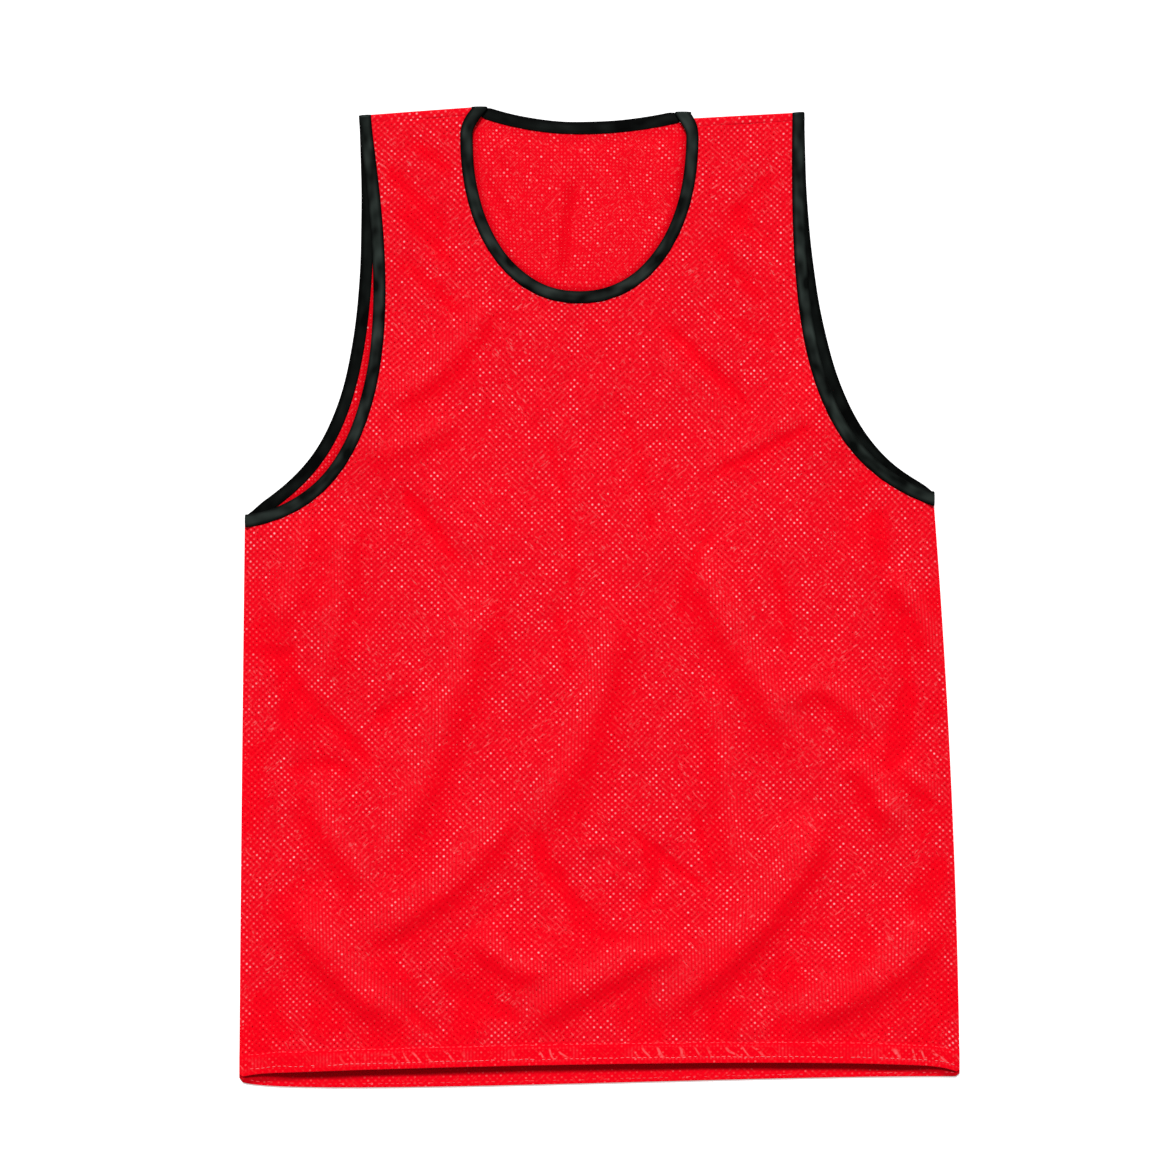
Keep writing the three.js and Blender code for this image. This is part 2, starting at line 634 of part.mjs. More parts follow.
addPiece('back_panel', backPanel(), FINISH.mesh);
addPiece('back_hem', backHem(), FINISH.mesh);
addPiece('front_panel', frontPanel(), FINISH.mesh);
addPiece('front_hem', frontHem(), FINISH.mesh);
addPiece('neck_binding', neckBinding(), FINISH.tape);
addPiece('left_armhole_binding', armholeBinding('left'), FINISH.tape);
addPiece('right_armhole_binding', armholeBinding('right'), FINISH.tape);

export default bib;
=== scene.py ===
"""Sleeveless mesh training bib laid flat: cloth panels, hems, binding tape and stitching.

The pattern tables are in millimetres, as a cutter writes them; every mesh is in metres.
"""
import math

import bmesh
import bpy
import numpy as np
from bpy.props import FloatProperty, FloatVectorProperty, IntProperty, PointerProperty
from bpy.types import Operator, Panel, PropertyGroup
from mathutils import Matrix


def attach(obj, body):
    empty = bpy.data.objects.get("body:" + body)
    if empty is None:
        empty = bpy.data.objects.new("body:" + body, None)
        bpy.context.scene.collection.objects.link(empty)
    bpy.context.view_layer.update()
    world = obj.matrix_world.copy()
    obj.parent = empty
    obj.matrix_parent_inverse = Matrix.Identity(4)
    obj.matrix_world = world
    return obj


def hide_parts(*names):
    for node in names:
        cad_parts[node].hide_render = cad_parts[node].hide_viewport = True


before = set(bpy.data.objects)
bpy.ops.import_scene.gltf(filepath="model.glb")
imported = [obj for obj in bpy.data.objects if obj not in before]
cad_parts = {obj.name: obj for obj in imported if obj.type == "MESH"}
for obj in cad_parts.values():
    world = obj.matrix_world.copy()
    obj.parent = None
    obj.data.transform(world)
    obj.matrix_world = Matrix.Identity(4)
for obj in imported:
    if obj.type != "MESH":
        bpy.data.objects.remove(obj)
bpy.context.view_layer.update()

bl_info = {
    "name": "Training Bib",
    "version": (1, 0, 0),
    "blender": (4, 5, 0),
    "location": "3D View > Sidebar > Bib",
    "description": "Makes a mesh training bib laid flat, with bound neck and armholes",
    "category": "Add Mesh",
}

MM = 0.001

# ---- Pattern, in millimetres -----------------------------------------------------------------

CLOTH = 1.0  # wall of one layer
TAPE_WIDTH = 9.5
TAPE_THICK = 2.0
HEM_DEPTH = 16.0
FLAP = 7.0  # how far the back wraps over the shoulder to its seam
CLEAR = 2.9  # underside of the front cloth where it just clears the back
SEATED = 1.3  # the same where it is sewn down at the sides
# How the front rises off the back: over the body, at the open hem and beside each armhole.
PUFF_HEIGHT, PUFF_SIDE, PUFF_FADES = 2.9, 55.0, (30.0, 150.0)
MOUTH_HEIGHT, MOUTH_REACH = 2.1, 40.0
ARM_HEIGHT, ARM_ACROSS, ARM_ALONG = 5.0, 38.0, 46.0
ARM_PLACES = [(-182.0, 132.0), (176.0, 138.0)]
# Levels between which a panel's net is laid out, before its rows are pulled to its edges.
PANEL_BOTTOM, PANEL_TOP = -344.0, 376.0
PANEL_LENGTH = 718.0  # of the cloth, from which its rows of holes are counted
UNDER_TAPE = 3.2  # how far past its seam line the net runs on under the tape
SIDE_DROP = 3.5  # over which both layers come down to the level of the side seam
TURN_RADIUS = (CLEAR + CLOTH / 2 - TAPE_THICK / 2) / 2
SHOULDER_RADIUS = (CLEAR + CLOTH) / 2

# Side seams: from the underarm, drawn towards pull, to the hem.
SIDES = {
    "left": {"underarm": (-272.6, 60.0), "pull": (-275.2, -110.0), "hem": (-277.0, -368.0)},
    "right": {"underarm": (257.0, 72.0), "pull": (274.0, -110.0), "hem": (277.0, -366.0)},
}
# Shoulder folds, at each end of a strap, and how far up the tapes reach there.
SHOULDERS = {
    "left": {"armhole": (-175.5, 370.6), "neck": (-99.2, 376.4), "tape_top": 376.6},
    "right": {"armhole": (148.0, 372.0), "neck": (73.6, 367.9), "tape_top": 372.6},
}
# Armhole seam lines from the shoulder down to the underarm: cubic curves. The tape lies
# outward of them, and takes up twice half along the side where it ends at the underarm.
ARMHOLES = {
    "left": {
        "outward": -1,
        "half": 5.0,
        "front": [(-175.3, 368.3), (-173.6, 325.4), (-118.7, 76.4), (-270.4, 53.0)],
        "back": [(-175.3, 368.3), (-163.2, 119.3), (-213.3, 93.4), (-270.4, 53.0)],
    },
    "right": {
        "outward": 1,
        "half": 5.6,
        "front": [(148.0, 369.8), (145.3, 195.4), (157.7, 105.0), (255.4, 69.7)],
        "back": [(148.0, 369.8), (150.2, 96.1), (229.1, 94.2), (255.4, 69.7)],
    },
}
# Neck: the front scoop is a superellipse below its widest level and part of an ellipse above
# it. The back neck is a shallow parabola that rises less on the right.
NECK = {
    "centre": -15.5,
    "widest": 354.0,
    "half_width": 91.5,
    "scoop": 129.0,
    "squareness": 2.15,
    "upper": 48.0,
    "turn_in": 16.0,
    "fold_span": 12.3,
    "back_low": 355.2,
    "back_start": 10.0,
    "back_turn_in": 6.0,
    "back_rise": (0.0022, 0.0015),
}
# Lower edges of the hems: cubic curves from left to right.
HEM_LINES = {
    "front": [(-277.0, -370.0), (-185.7, -360.7), (216.9, -350.8), (277.0, -366.6)],
    "back": [(-277.0, -372.6), (-250.0, -385.8), (129.1, -367.2), (277.0, -368.8)],
}
HEM_LIFT = {"left": 3.0, "right": 3.6}  # how far the front hem springs up beside each corner

# Folds of the front: where the steep side runs (from, via, to), height, how far it falls away
# on its gentle and its steep side, 1 where the steep side lies to the left of the walk, and how
# strongly painted shade closes up the net along it.
FOLDS = [
    [(-72, 20), (-104, -92), (-159, -222), 3.0, 34, 17, 1, 0.75],
    [(27, 4), (3, -98), (-44, -186), 2.9, 32, 17, 1, 0.75],
    [(-50, -150), (-108, -226), (-186, -272), 3.1, 31, 12, 1, 0.93],
    [(-74, 230), (-108, 178), (-158, 140), 1.8, 26, 11, 1, 0.85],
    [(-100, 132), (-140, 114), (-178, 100), 1.5, 20, 10, 1, 0.67],
    [(-184, 68), (-190, 2), (-203, -68), 1.8, 24, 12, 1, 0.6],
    [(-214, 60), (-226, 16), (-234, -26), 1.4, 20, 11, 1, 0.57],
    [(56, 42), (96, -42), (148, -126), 2.9, 31, 15, -1, 0.82],
    [(146, -92), (174, -80), (204, -112), 1.8, 20, 11, -1, 0.95],
    [(186, -126), (204, -152), (224, -184), 2.2, 24, 11, -1, 0.95],
    [(182, -166), (134, -252), (44, -332), 4.3, 39, 13, 1, 1.0],
    [(72, -274), (6, -299), (-56, -336), 3.6, 32, 12, 1, 0.96],
    [(-106, -260), (-75, -286), (-34, -298), 2.6, 22, 11, -1, 0.95],
    [(268, -244), (226, -300), (138, -334), 3.8, 36, 13, 1, 1.0],
    [(-250, -234), (-208, -293), (-154, -336), 3.7, 36, 12, -1, 0.96],
    [(-234, -136), (-211, -192), (-178, -230), 2.1, 26, 12, -1, 0.85],
    [(75, -58), (86, -139), (100, -222), 1.4, 22, 11, -1, 0.64],
    [(77, 90), (125, 112), (170, 136), 0.8, 19, 10, -1, 0.53],
    [(39, 213), (78, 175), (116, 136), 0.8, 20, 10, 1, 0.53],
    [(216, 16), (236, -14), (252, -46), 1.8, 18, 10, -1, 0.95],
    [(224, -130), (242, -146), (260, -160), 1.6, 16, 11, -1, 0.9],
]
# Finer creases: from, via, to, height (a trough where it is below nothing) and half width.
FRONT_CREASES = [
    [(-154, 86), (-131, 58), (-103, 18), -0.9, 5],
    [(-140, 92), (-116, 62), (-90, 26), 0.6, 5],
    [(9, 160), (31, 99), (42, 18), -0.4, 5],
    [(-62, 143), (-28, 84), (-20, -60), -0.4, 5],
    [(-48, 150), (-16, 84), (-8, -40), 0.6, 6],
    [(-190, -280), (-150, -314), (-118, -341), -0.8, 5],
    [(18, -174), (55, -204), (90, -228), -0.7, 4],
    [(73, -157), (80, -190), (92, -226), -0.6, 5],
    [(-34, -196), (-22, -232), (6, -246), -0.8, 6],
    [(-20, -200), (4, -190), (26, -206), 0.8, 6],
    [(2, -222), (14, -212), (22, -232), 0.7, 5],
    [(28, -190), (42, -214), (24, -244), -0.7, 6],
    [(233, -8), (243, -22), (254, -42), -1.2, 8],
    [(208, 74), (214, 44), (216, 22), -0.9, 7],
    [(128, 40), (141, -7), (146, -52), -0.5, 6],
    [(206, 24), (236, -60), (228, -150), -0.5, 6],
    [(-248, -40), (-238, -70), (-240, -106), -0.9, 8],
    [(-176, -96), (-158, -86), (-140, -72), -0.8, 6],
    [(-246, -140), (-214, -128), (-182, -140), -0.6, 6],
    [(77, 90), (125, 112), (170, 136), -0.6, 4],
    [(45, 214), (82, 178), (122, 140), -0.8, 5],
    [(22, 222), (60, 190), (84, 160), 0.6, 4],
    [(-171, 336), (-140, 305), (-112, 276), -0.6, 7],
    [(-160, 300), (-138, 282), (-104, 248), -0.55, 7],
    [(-165, 262), (-130, 240), (-100, 206), -0.5, 7],
    [(-150, 352), (-128, 338), (-112, 322), -0.55, 6],
    [(140, 330), (112, 300), (92, 262), -0.4, 7],
    [(136, 222), (104, 250), (78, 284), -0.45, 7],
    [(140, 262), (118, 280), (92, 310), -0.4, 6],
    [(144, 196), (112, 206), (76, 240), -0.4, 7],
    [(-36, 214), (-34, 176), (-44, 130), 0.6, 7],
    [(0, 212), (4, 176), (-4, 130), 0.5, 7],
    [(96, 60), (70, 20), (62, -30), -0.5, 6],
    [(-90, -30), (-60, -60), (-52, -130), 0.6, 9],
    [(-130, -285), (-90, -312), (-50, -322), -0.7, 8],
    [(-35, 4), (-28, -33), (-22, -72), -0.4, 5],
    [(234, -66), (228, -104), (216, -140), -0.8, 8],
    [(-243, -58), (-206, -96), (-166, -136), -0.7, 6],
    [(-50, -176), (-44, -200), (-30, -228), -0.8, 7],
    [(-34, -240), (14, -262), (64, -258), -0.6, 8],
    [(-262, -40), (-246, -44), (-230, -42), -0.9, 8],
    [(-268, -300), (-252, -322), (-236, -344), -0.8, 9],
    [(262, -196), (256, -222), (240, -250), -0.7, 9],
]
BACK_CREASES = [
    [(-17, 328), (-26, 285), (-27, 238), -0.8, 5],
    [(6, 335), (5, 300), (0, 250), 0.7, 7],
    [(4, 316), (0, 290), (5, 254), -0.3, 4],
    [(-62, 345), (-54, 300), (-50, 262), 0.5, 7],
    [(-92, 330), (-76, 304), (-62, 280), -0.4, 4],
    [(-86, 348), (-66, 322), (-50, 300), -0.35, 4],
    [(-66, 352), (-54, 336), (-42, 312), -0.35, 4],
    [(-46, 290), (-42, 270), (-48, 250), -0.3, 5],
    [(44, 350), (48, 305), (36, 262), 0.6, 7],
    [(64, 336), (56, 308), (38, 284), -0.4, 5],
    [(30, 344), (22, 326), (24, 300), -0.3, 4],
    [(-150, -40), (-80, -120), (-60, -210), 0.6, 14],
    [(150, 10), (110, -80), (40, -160), 0.6, 14],
    [(-220, -200), (-120, -260), (20, -290), 0.6, 16],
    [(220, -210), (160, -280), (60, -330), 0.6, 14],
    [(-60, 140), (-20, 60), (-30, -60), 0.5, 12],
]
# The way to the light, in plan: where the cloth turns from it, painted shade closes up the net.
LIGHT_WAY = (-0.15, 0.99)
LOOK_AHEAD = 1.5  # how far to each side of a point its slope is taken

LEFT_HEM, RIGHT_HEM = SIDES["left"]["hem"][0], SIDES["right"]["hem"][0]
WIDTH = RIGHT_HEM - LEFT_HEM  # at the hem, where the bib is widest


# ---- Curves ----------------------------------------------------------------------------------


def mix(a, b, k):
    """a where k is 0, b where it is 1."""
    return a + (b - a) * k


def smooth(low, high, value):
    """0 up to low, 1 from high on, and a soft rise between them."""
    k = np.clip((value - low) / (high - low), 0.0, 1.0)
    return k * k * (3 - 2 * k)


def bell(away, width):
    """1 at the middle and soft on both sides of it."""
    return np.exp(-((away / width) ** 2))


def cubic(points, steps):
    """A cubic curve as an array of steps + 1 points."""
    t = np.linspace(0, 1, steps + 1)[:, None]
    a, b, c, d = (np.array(p, float) for p in points)
    return a * (1 - t) ** 3 + 3 * b * t * (1 - t) ** 2 + 3 * c * t**2 * (1 - t) + d * t**3


def through(start, via, end, steps):
    """A quadratic curve that passes through via half way along."""
    t = np.linspace(0, 1, steps + 1)[:, None]
    a, m, b = (np.array(p, float) for p in (start, via, end))
    pull = 2 * m - (a + b) / 2
    return a * (1 - t) ** 2 + 2 * pull * t * (1 - t) + b * t**2


def run_of(line):
    """Distance along a line at each of its points."""
    steps = np.linalg.norm(np.diff(line, axis=0), axis=1)
    return np.concatenate([[0.0], np.cumsum(steps)])


def evenly(line, steps):
    """The same line with evenly spaced points."""
    run = run_of(line)
    places = np.linspace(0, run[-1], steps + 1)
    return np.stack([np.interp(places, run, line[:, k]) for k in range(line.shape[1])], 1)


def left_normals(line):
    ahead = np.vstack([line[1:], line[-1:]]) - np.vstack([line[:1], line[:-1]])
    ahead /= np.linalg.norm(ahead, axis=1)[:, None]
    return np.stack([-ahead[:, 1], ahead[:, 0]], 1)


def nearest(line, x, y):
    """How far along a line (0 to 1) its nearest place is, and the distance to it, which is
    positive on the line's left."""
    best = np.full(x.shape, np.inf)
    along = np.zeros(x.shape)
    side = np.zeros(x.shape)
    last = len(line) - 1
    for i in range(last):
        (ax, ay), (bx, by) = line[i], line[i + 1]
        dx, dy = bx - ax, by - ay
        k = np.clip(((x - ax) * dx + (y - ay) * dy) / (dx * dx + dy * dy), 0, 1)
        ox, oy = x - ax - k * dx, y - ay - k * dy
        away = np.hypot(ox, oy)
        closer = away < best
        best = np.where(closer, away, best)
        along = np.where(closer, (i + k) / last, along)
        side = np.where(closer, np.where(dx * oy - dy * ox < 0, -away, away), side)
    return along, side


def inside(outline, x, y):
    """Whether each point lies inside a closed outline."""
    within = np.zeros(x.shape, bool)
    for (ax, ay), (bx, by) in zip(outline, np.roll(outline, -1, axis=0)):
        spans = (ay > y) != (by > y)
        with np.errstate(divide="ignore", invalid="ignore"):
            meets = ax + (y - ay) * (bx - ax) / (by - ay)
        within ^= spans & (x < meets)
    return within


def wander(x, y, seed, reach, shortest, longest, waves=8):
    """A smooth uneven field: a few crossing waves of unlike length and direction."""
    rng = np.random.default_rng(seed)
    total = np.zeros(np.shape(x))
    for _ in range(waves):
        length, turn, start = rng.uniform((shortest, 0, 0), (longest, 2 * np.pi, 2 * np.pi))
        total += np.sin(2 * np.pi / length * (x * np.cos(turn) + y * np.sin(turn)) + start)
    return reach * total / (waves / 2)


def hem_edge(layer):
    """Lower edge of a hem, which springs up beside its corners at the front."""
    line = cubic(HEM_LINES[layer], 240)
    if layer == "front":
        rises, fades = 10, 130
        for side, from_corner in (("left", line[:, 0] - LEFT_HEM),
                                  ("right", RIGHT_HEM - line[:, 0])):
            spring = (1 - np.exp(-from_corner / rises)) * np.exp(-from_corner / fades)
            line[:, 1] += HEM_LIFT[side] * spring
    return line


HEM_EDGE = {layer: hem_edge(layer) for layer in HEM_LINES}


def hem_seam(layer, x):
    """Level of the seam along the top of a hem."""
    return np.interp(x, HEM_EDGE[layer][:, 0], HEM_EDGE[layer][:, 1]) + HEM_DEPTH


def side_at(name, y):
    """Where a side seam is at a level y."""
    side = SIDES[name]
    t = np.clip((side["underarm"][1] - y) / (side["underarm"][1] - side["hem"][1]), 0, 1)
    a, b, c = side["underarm"][0], side["pull"][0], side["hem"][0]
    return mix(mix(a, b, t), mix(b, c, t), t)


def armhole_seam(side, layer, steps=110):
    return evenly(cubic(ARMHOLES[side][layer], 400), steps)


def neck_half_width(y):
    rise = y - NECK["widest"]
    above = NECK["half_width"] * np.sqrt(np.clip(1 - (rise / NECK["upper"]) ** 2, 0, 1))
    depth = np.clip(-rise / NECK["scoop"], 0, 1)
    power = NECK["squareness"]
    below = NECK["half_width"] * (1 - depth**power) ** (1 / power)
    return np.where(rise > 0, above, below)


def front_neck_seam(steps=190):
    """From the left shoulder down round the scoop to the right shoulder."""
    reach = TURN_RADIUS + TAPE_THICK / 2
    power = 2 / NECK["squareness"]
    parts = []
    for way, side in ((-1, "left"), (1, "right")):
        y = np.linspace(SHOULDERS[side]["tape_top"] - reach, NECK["widest"] + 3, 8)
        parts.append(np.stack([NECK["centre"] + way * neck_half_width(y), y], 1))
    t = np.linspace(0, np.pi, 241)
    c, s = np.cos(t), np.sin(t)
    across = np.sign(c) * np.abs(c) ** power
    scoop = np.stack([
        NECK["centre"] - NECK["half_width"] * across,
        NECK["widest"] - NECK["scoop"] * np.abs(s) ** power,
    ], 1)
    return evenly(np.vstack([parts[0], scoop, parts[1][::-1]]), steps)


def back_neck_seam(front, steps=96):
    first, last = front[0], front[-1]
    x = np.linspace(first[0] + NECK["back_start"], last[0] - NECK["back_start"], 60)
    rise = np.where(x < NECK["centre"], *NECK["back_rise"])
    y = NECK["back_low"] + rise * (x - NECK["centre"]) ** 2
    return evenly(np.vstack([first, np.stack([x, y], 1), last]), steps)


NECK_FRONT = front_neck_seam()
NECK_BACK = back_neck_seam(NECK_FRONT)
NECK_SEAMS = {"front": NECK_FRONT, "back": NECK_BACK}


def strap_level(side, down, x):
    """Level of the shoulder fold of a strap at x, moved down from the fold."""
    (ax, ay), (bx, by) = SHOULDERS[side]["armhole"], SHOULDERS[side]["neck"]
    return mix(ay, by, (x - ax) / (bx - ax)) - down


# ---- Height of the cloth ---------------------------------------------------------------------


def close_by(line, margin, x, y):
    """Which points lie inside a line's box and a margin round it, so that the rest are left."""
    low, high = line.min(0) - margin, line.max(0) + margin
    return (x > low[0]) & (x < high[0]) & (y > low[1]) & (y < high[1])


def fold_height(x, y):
    """Height of the large folds, whose crests lie a little to the gentle side of their lines."""
    total = np.zeros(x.shape)
    for start, via, end, height, gentle, steep, steep_on, _ in FOLDS:
        line = through(start, via, end, 20)
        near = close_by(line, 130, x, y)
        along, side = nearest(line, x[near], y[near])
        from_crest = side * steep_on + 0.7 * steep
        width = np.where(from_crest < 0, gentle, steep)
        taper = smooth(-0.06, 0.24, along) * smooth(-0.06, 0.24, 1 - along)
        total[near] += height * taper * bell(from_crest, width)
    return total


def fold_shade(x, y):
    """How far painted shade closes up the net along the steep sides of the folds, and how far a
    painted highlight lies along their crests, where the net closes up a little as well."""
    steep_side_shade, drawn = np.zeros(x.shape), np.zeros(x.shape)
    crest_at, crest_wide = 0.58, 0.28  # shares of the gentle side
    for start, via, end, _, gentle, steep, steep_on, shade in FOLDS:
        line = through(start, via, end, 20)
        near = close_by(line, 3 * gentle, x, y)
        along, side = nearest(line, x[near], y[near])
        taper = shade * smooth(-0.05, 0.28, along) * smooth(-0.05, 0.16, 1 - along)
        side = side * steep_on + wander(x[near], y[near], 61, 2.2, 24, 60)
        wide = 0.95 * steep * mix(0.62, 1.15, along)
        # Painted shade along the steep side.
        steep_side_shade[near] = np.maximum(steep_side_shade[near], taper * bell(side - 1.0, wide))
        # Painted highlight on the gentle side, along the top of the fold.
        drawn[near] = np.maximum(
            drawn[near], taper * bell(side + crest_at * gentle, crest_wide * gentle))
    return steep_side_shade, drawn


def crease_height(creases, x, y):
    total = np.zeros(x.shape)
    for start, via, end, height, width in creases:
        line = through(start, via, end, 12)
        near = close_by(line, 4 * width, x, y)
        along, side = nearest(line, x[near], y[near])
        taper = smooth(-0.02, 0.25, along) * smooth(-0.02, 0.25, 1 - along)
        total[near] += height * taper * bell(side, width)
    return total


def from_side(x, y):
    return np.maximum(0, np.minimum(x - side_at("left", y), side_at("right", y) - x))


def underside(x, y):
    """Underside of the front cloth above the surface the bib lies on."""
    above_hem = y - (hem_seam("front", x) - HEM_DEPTH)
    side = from_side(x, y)
    body = smooth(0, PUFF_SIDE, side) * (1 - smooth(*PUFF_FADES, y))
    seated = smooth(8, 45, SIDES["left"]["underarm"][1] - y) * smooth(16, 46, above_hem)
    edge = mix(mix(CLEAR, SEATED, seated), CLEAR, smooth(0, 14, side))
    mouth = MOUTH_HEIGHT * body * np.exp(-np.maximum(0, above_hem) / MOUTH_REACH)
    arms = sum(
        ARM_HEIGHT * np.exp(-(((x - cx) / ARM_ACROSS) ** 2) - ((y - cy) / ARM_ALONG) ** 2)
        for cx, cy in ARM_PLACES
    )
    free = np.minimum(1, side / 30) * smooth(-6, 40, above_hem)
    return edge + PUFF_HEIGHT * body + mouth + arms + free * fold_height(x, y)


def trim_distance(layer, x, y):
    """Distance to the nearest bound edge of a layer."""
    lines = [NECK_SEAMS[layer][::4], *(armhole_seam(side, layer, 30) for side in ARMHOLES)]
    return np.min([np.abs(nearest(line, x, y)[1]) for line in lines], axis=0)


def side_level(layer, x, y):
    """Level at which the two layers meet along the side seam."""
    above_hem = y - (hem_seam(layer, x) - HEM_DEPTH)
    return mix(1.7, 1.08, smooth(14, 24, above_hem))


def front_level(x, y):
    """Middle of the front cloth."""
    above_hem = y - (hem_seam("front", x) - HEM_DEPTH)
    trim = trim_distance("front", x, y)
    free = smooth(4, 22, trim) * smooth(6, 30, from_side(x, y)) * smooth(4, 26, above_hem)
    fine = crease_height(FRONT_CREASES, x, y)
    fine = fine + wander(x, y, 5, 0.45, 26, 70) + wander(x, y, 6, 0.16, 11, 24)
    level = underside(x, y) + CLOTH / 2 + free * fine
    drop = bell(from_side(x, y), SIDE_DROP)
    return mix(level, side_level("front", x, y) + 0.06, drop)


def back_level(x, y):
    """Middle of the back cloth, which lies on the surface."""
    above_hem = y - (hem_seam("back", x) - HEM_DEPTH)
    trim = trim_distance("back", x, y)
    side = from_side(x, y)
    free = smooth(3, 16, trim) * smooth(6, 30, side) * smooth(4, 26, above_hem)
    fine = 0.55 + crease_height(BACK_CREASES, x, y) + wander(x, y, 15, 0.25, 22, 60)
    level = 0.5 + free * np.clip(fine, -0.3, 1.6) + 0.5 * (1 - smooth(0, 9, trim))
    drop = bell(side, SIDE_DROP)
    return mix(level, side_level("back", x, y) - 0.06, drop)


# ---- Mesh building ---------------------------------------------------------------------------


class Sheet:
    """Points, faces and flat coordinates of one piece, gathered part by part."""

    def __init__(self):
        self.points, self.flat, self.weave, self.faces = [], [], [], []
        self.closed, self.shade = [], []
        self.count = 0

    def add(self, points, flat, weave, faces, closed=0.0, shade=0.0):
        """Adds points (mm), their place on the flat piece (0 to 1), their weave coordinates,
        faces that index them, how far the net is closed up there (0 to 1), in part by painted
        shade, and its painted light there: up to 3 for painted shade, -1 for a painted highlight
        along the crests of folds, -3 for painted gleams across a hem."""
        self.points.append(np.asarray(points, float))
        self.flat.append(np.asarray(flat, float))
        self.weave.append(np.asarray(weave, float))
        self.closed.append(np.broadcast_to(closed, len(points)))
        self.shade.append(np.broadcast_to(shade, len(points)))
        self.faces += [np.asarray(f) + self.count for f in faces if len(f)]
        self.count += len(points)

    def build(self, name, material, facing=1):
        """Makes the piece as an object. facing is -1 where its faces have to be turned over."""
        points = np.vstack(self.points) * MM
        faces = [row for block in self.faces for row in block.tolist()]
        if facing < 0:
            faces = [row[::-1] for row in faces]
        mesh = bpy.data.meshes.new(name)
        mesh.from_pydata(points.tolist(), [], faces)
        corners = np.zeros(len(mesh.loops), int)
        mesh.loops.foreach_get("vertex_index", corners)
        for layer, values in (("OFBake", self.flat), ("Weave", self.weave)):
            uv = mesh.uv_layers.new(name=layer)
            uv.data.foreach_set("uv", np.vstack(values)[corners].ravel())
        mesh.uv_layers.active = mesh.uv_layers["OFBake"]
        for layer, values in (("Closed", self.closed), ("Shade", self.shade)):
            attribute = mesh.attributes.new(layer, "FLOAT", "POINT")
            attribute.data.foreach_set("value", np.concatenate(values))
        mesh.polygons.foreach_set("use_smooth", [True] * len(mesh.polygons))
        mesh.update()
        mesh.validate()
        made = bpy.data.objects.new(name, mesh)
        bpy.context.scene.collection.objects.link(made)
        mesh.materials.append(material)
        return made


def slope_shade(level_at, creases, x, y):
    """Painted shade closing up the net, 0 to 1: on slopes away from the light and in troughs."""
    dx, dy = LIGHT_WAY[0] * LOOK_AHEAD, LIGHT_WAY[1] * LOOK_AHEAD
    rise = (level_at(x + dx, y + dy) - level_at(x - dx, y - dy)) / (2 * LOOK_AHEAD)
    trough = smooth(0.03, 0.6, -crease_height(creases, x, y))
    return np.minimum(1, 0.8 * smooth(0.04, 0.24, rise) + 0.9 * trough)


NUDGE = 0.04  # how far holes stray from their places, in lattice steps
HOLE_SINK = 0.1  # how far the rims of holes lie below the cloth round them


def netting(columns, rows, place, keep, hole, uneven, seed):
    """Knitted mesh with staggered holes over a lattice of half pitches.

    place(i, j) gives points in millimetres and keep(points) which holes belong to the piece.
    hole is a hole's width and height in lattice steps, and uneven the share it varies by.
    Returns points, lattice coordinates and faces.
    """
    rng = np.random.default_rng(seed)
    i, j = np.meshgrid(np.arange(columns + 1), np.arange(rows + 1), indexing="ij")
    even = (i + j) % 2 == 0
    rim = (i == 0) | (i == columns) | (j == 0) | (j == rows)
    wanted = np.zeros(i.shape, bool)
    wanted[even] = keep(place(i[even].astype(float), j[even].astype(float)))
    number = np.full(i.shape, -1)
    solid = ~even | rim
    number[solid] = np.arange(solid.sum())
    lattice = [np.stack([i[solid], j[solid]], 1).astype(float)]
    around = [(1, 0), (0, 1), (-1, 0), (0, -1)]

    hi, hj = i[wanted & ~rim], j[wanted & ~rim]
    half = np.array(hole) / 2
    grown = 1 + uneven * rng.uniform(-1, 1, (len(hi), 4))
    nudge = rng.normal(0, 1, (len(hi), 2)) * NUDGE
    base = solid.sum()
    for k, way in enumerate(around):
        lattice.append(np.stack([hi, hj], 1) + nudge + np.array(way) * half * grown[:, k, None])
    holes = [base + k * len(hi) + np.arange(len(hi)) for k in range(4)]
    nodes = [number[hi + dx, hj + dy] for dx, dy in around]
    quads = [
        np.stack([nodes[k], nodes[(k + 1) % 4], holes[(k + 1) % 4], holes[k]], 1)
        for k in range(4)
    ]
    fills = []
    ri, rj = i[wanted & rim], j[wanted & rim]
    for k in range(4):
        (ax, ay), (bx, by) = around[k], around[(k + 1) % 4]
        fits = (
            (ri + ax >= 0) & (ri + ax <= columns) & (rj + ay >= 0) & (rj + ay <= rows)
            & (ri + bx >= 0) & (ri + bx <= columns) & (rj + by >= 0) & (rj + by <= rows)
        )
        fills.append(np.stack([
            number[ri, rj][fits],
            number[np.clip(ri + ax, 0, columns), np.clip(rj + ay, 0, rows)][fits],
            number[np.clip(ri + bx, 0, columns), np.clip(rj + by, 0, rows)][fits],
        ], 1))
    lattice = np.vstack(lattice)
    points = place(lattice[:, 0], lattice[:, 1])
    points[base:, 2] -= HOLE_SINK
    faces = [np.vstack(quads), np.vstack(fills)]
    used = np.unique(np.concatenate([f.ravel() for f in faces]))
    renumber = np.full(len(lattice), -1)
    renumber[used] = np.arange(len(used))
    return points[used], lattice[used], [renumber[f] for f in faces]


def grid_faces(rows, across, closed=False):
    """Quads of a grid of rows times across points; closed joins the last row to the first."""
    r = np.arange(rows if closed else rows - 1)[:, None]
    c = np.arange(across - 1)[None, :]
    a = r * across + c
    b = ((r + 1) % rows) * across + c
    return np.stack([a, a + 1, b + 1, b], -1).reshape(-1, 4)


# ---- Materials -------------------------------------------------------------------------------


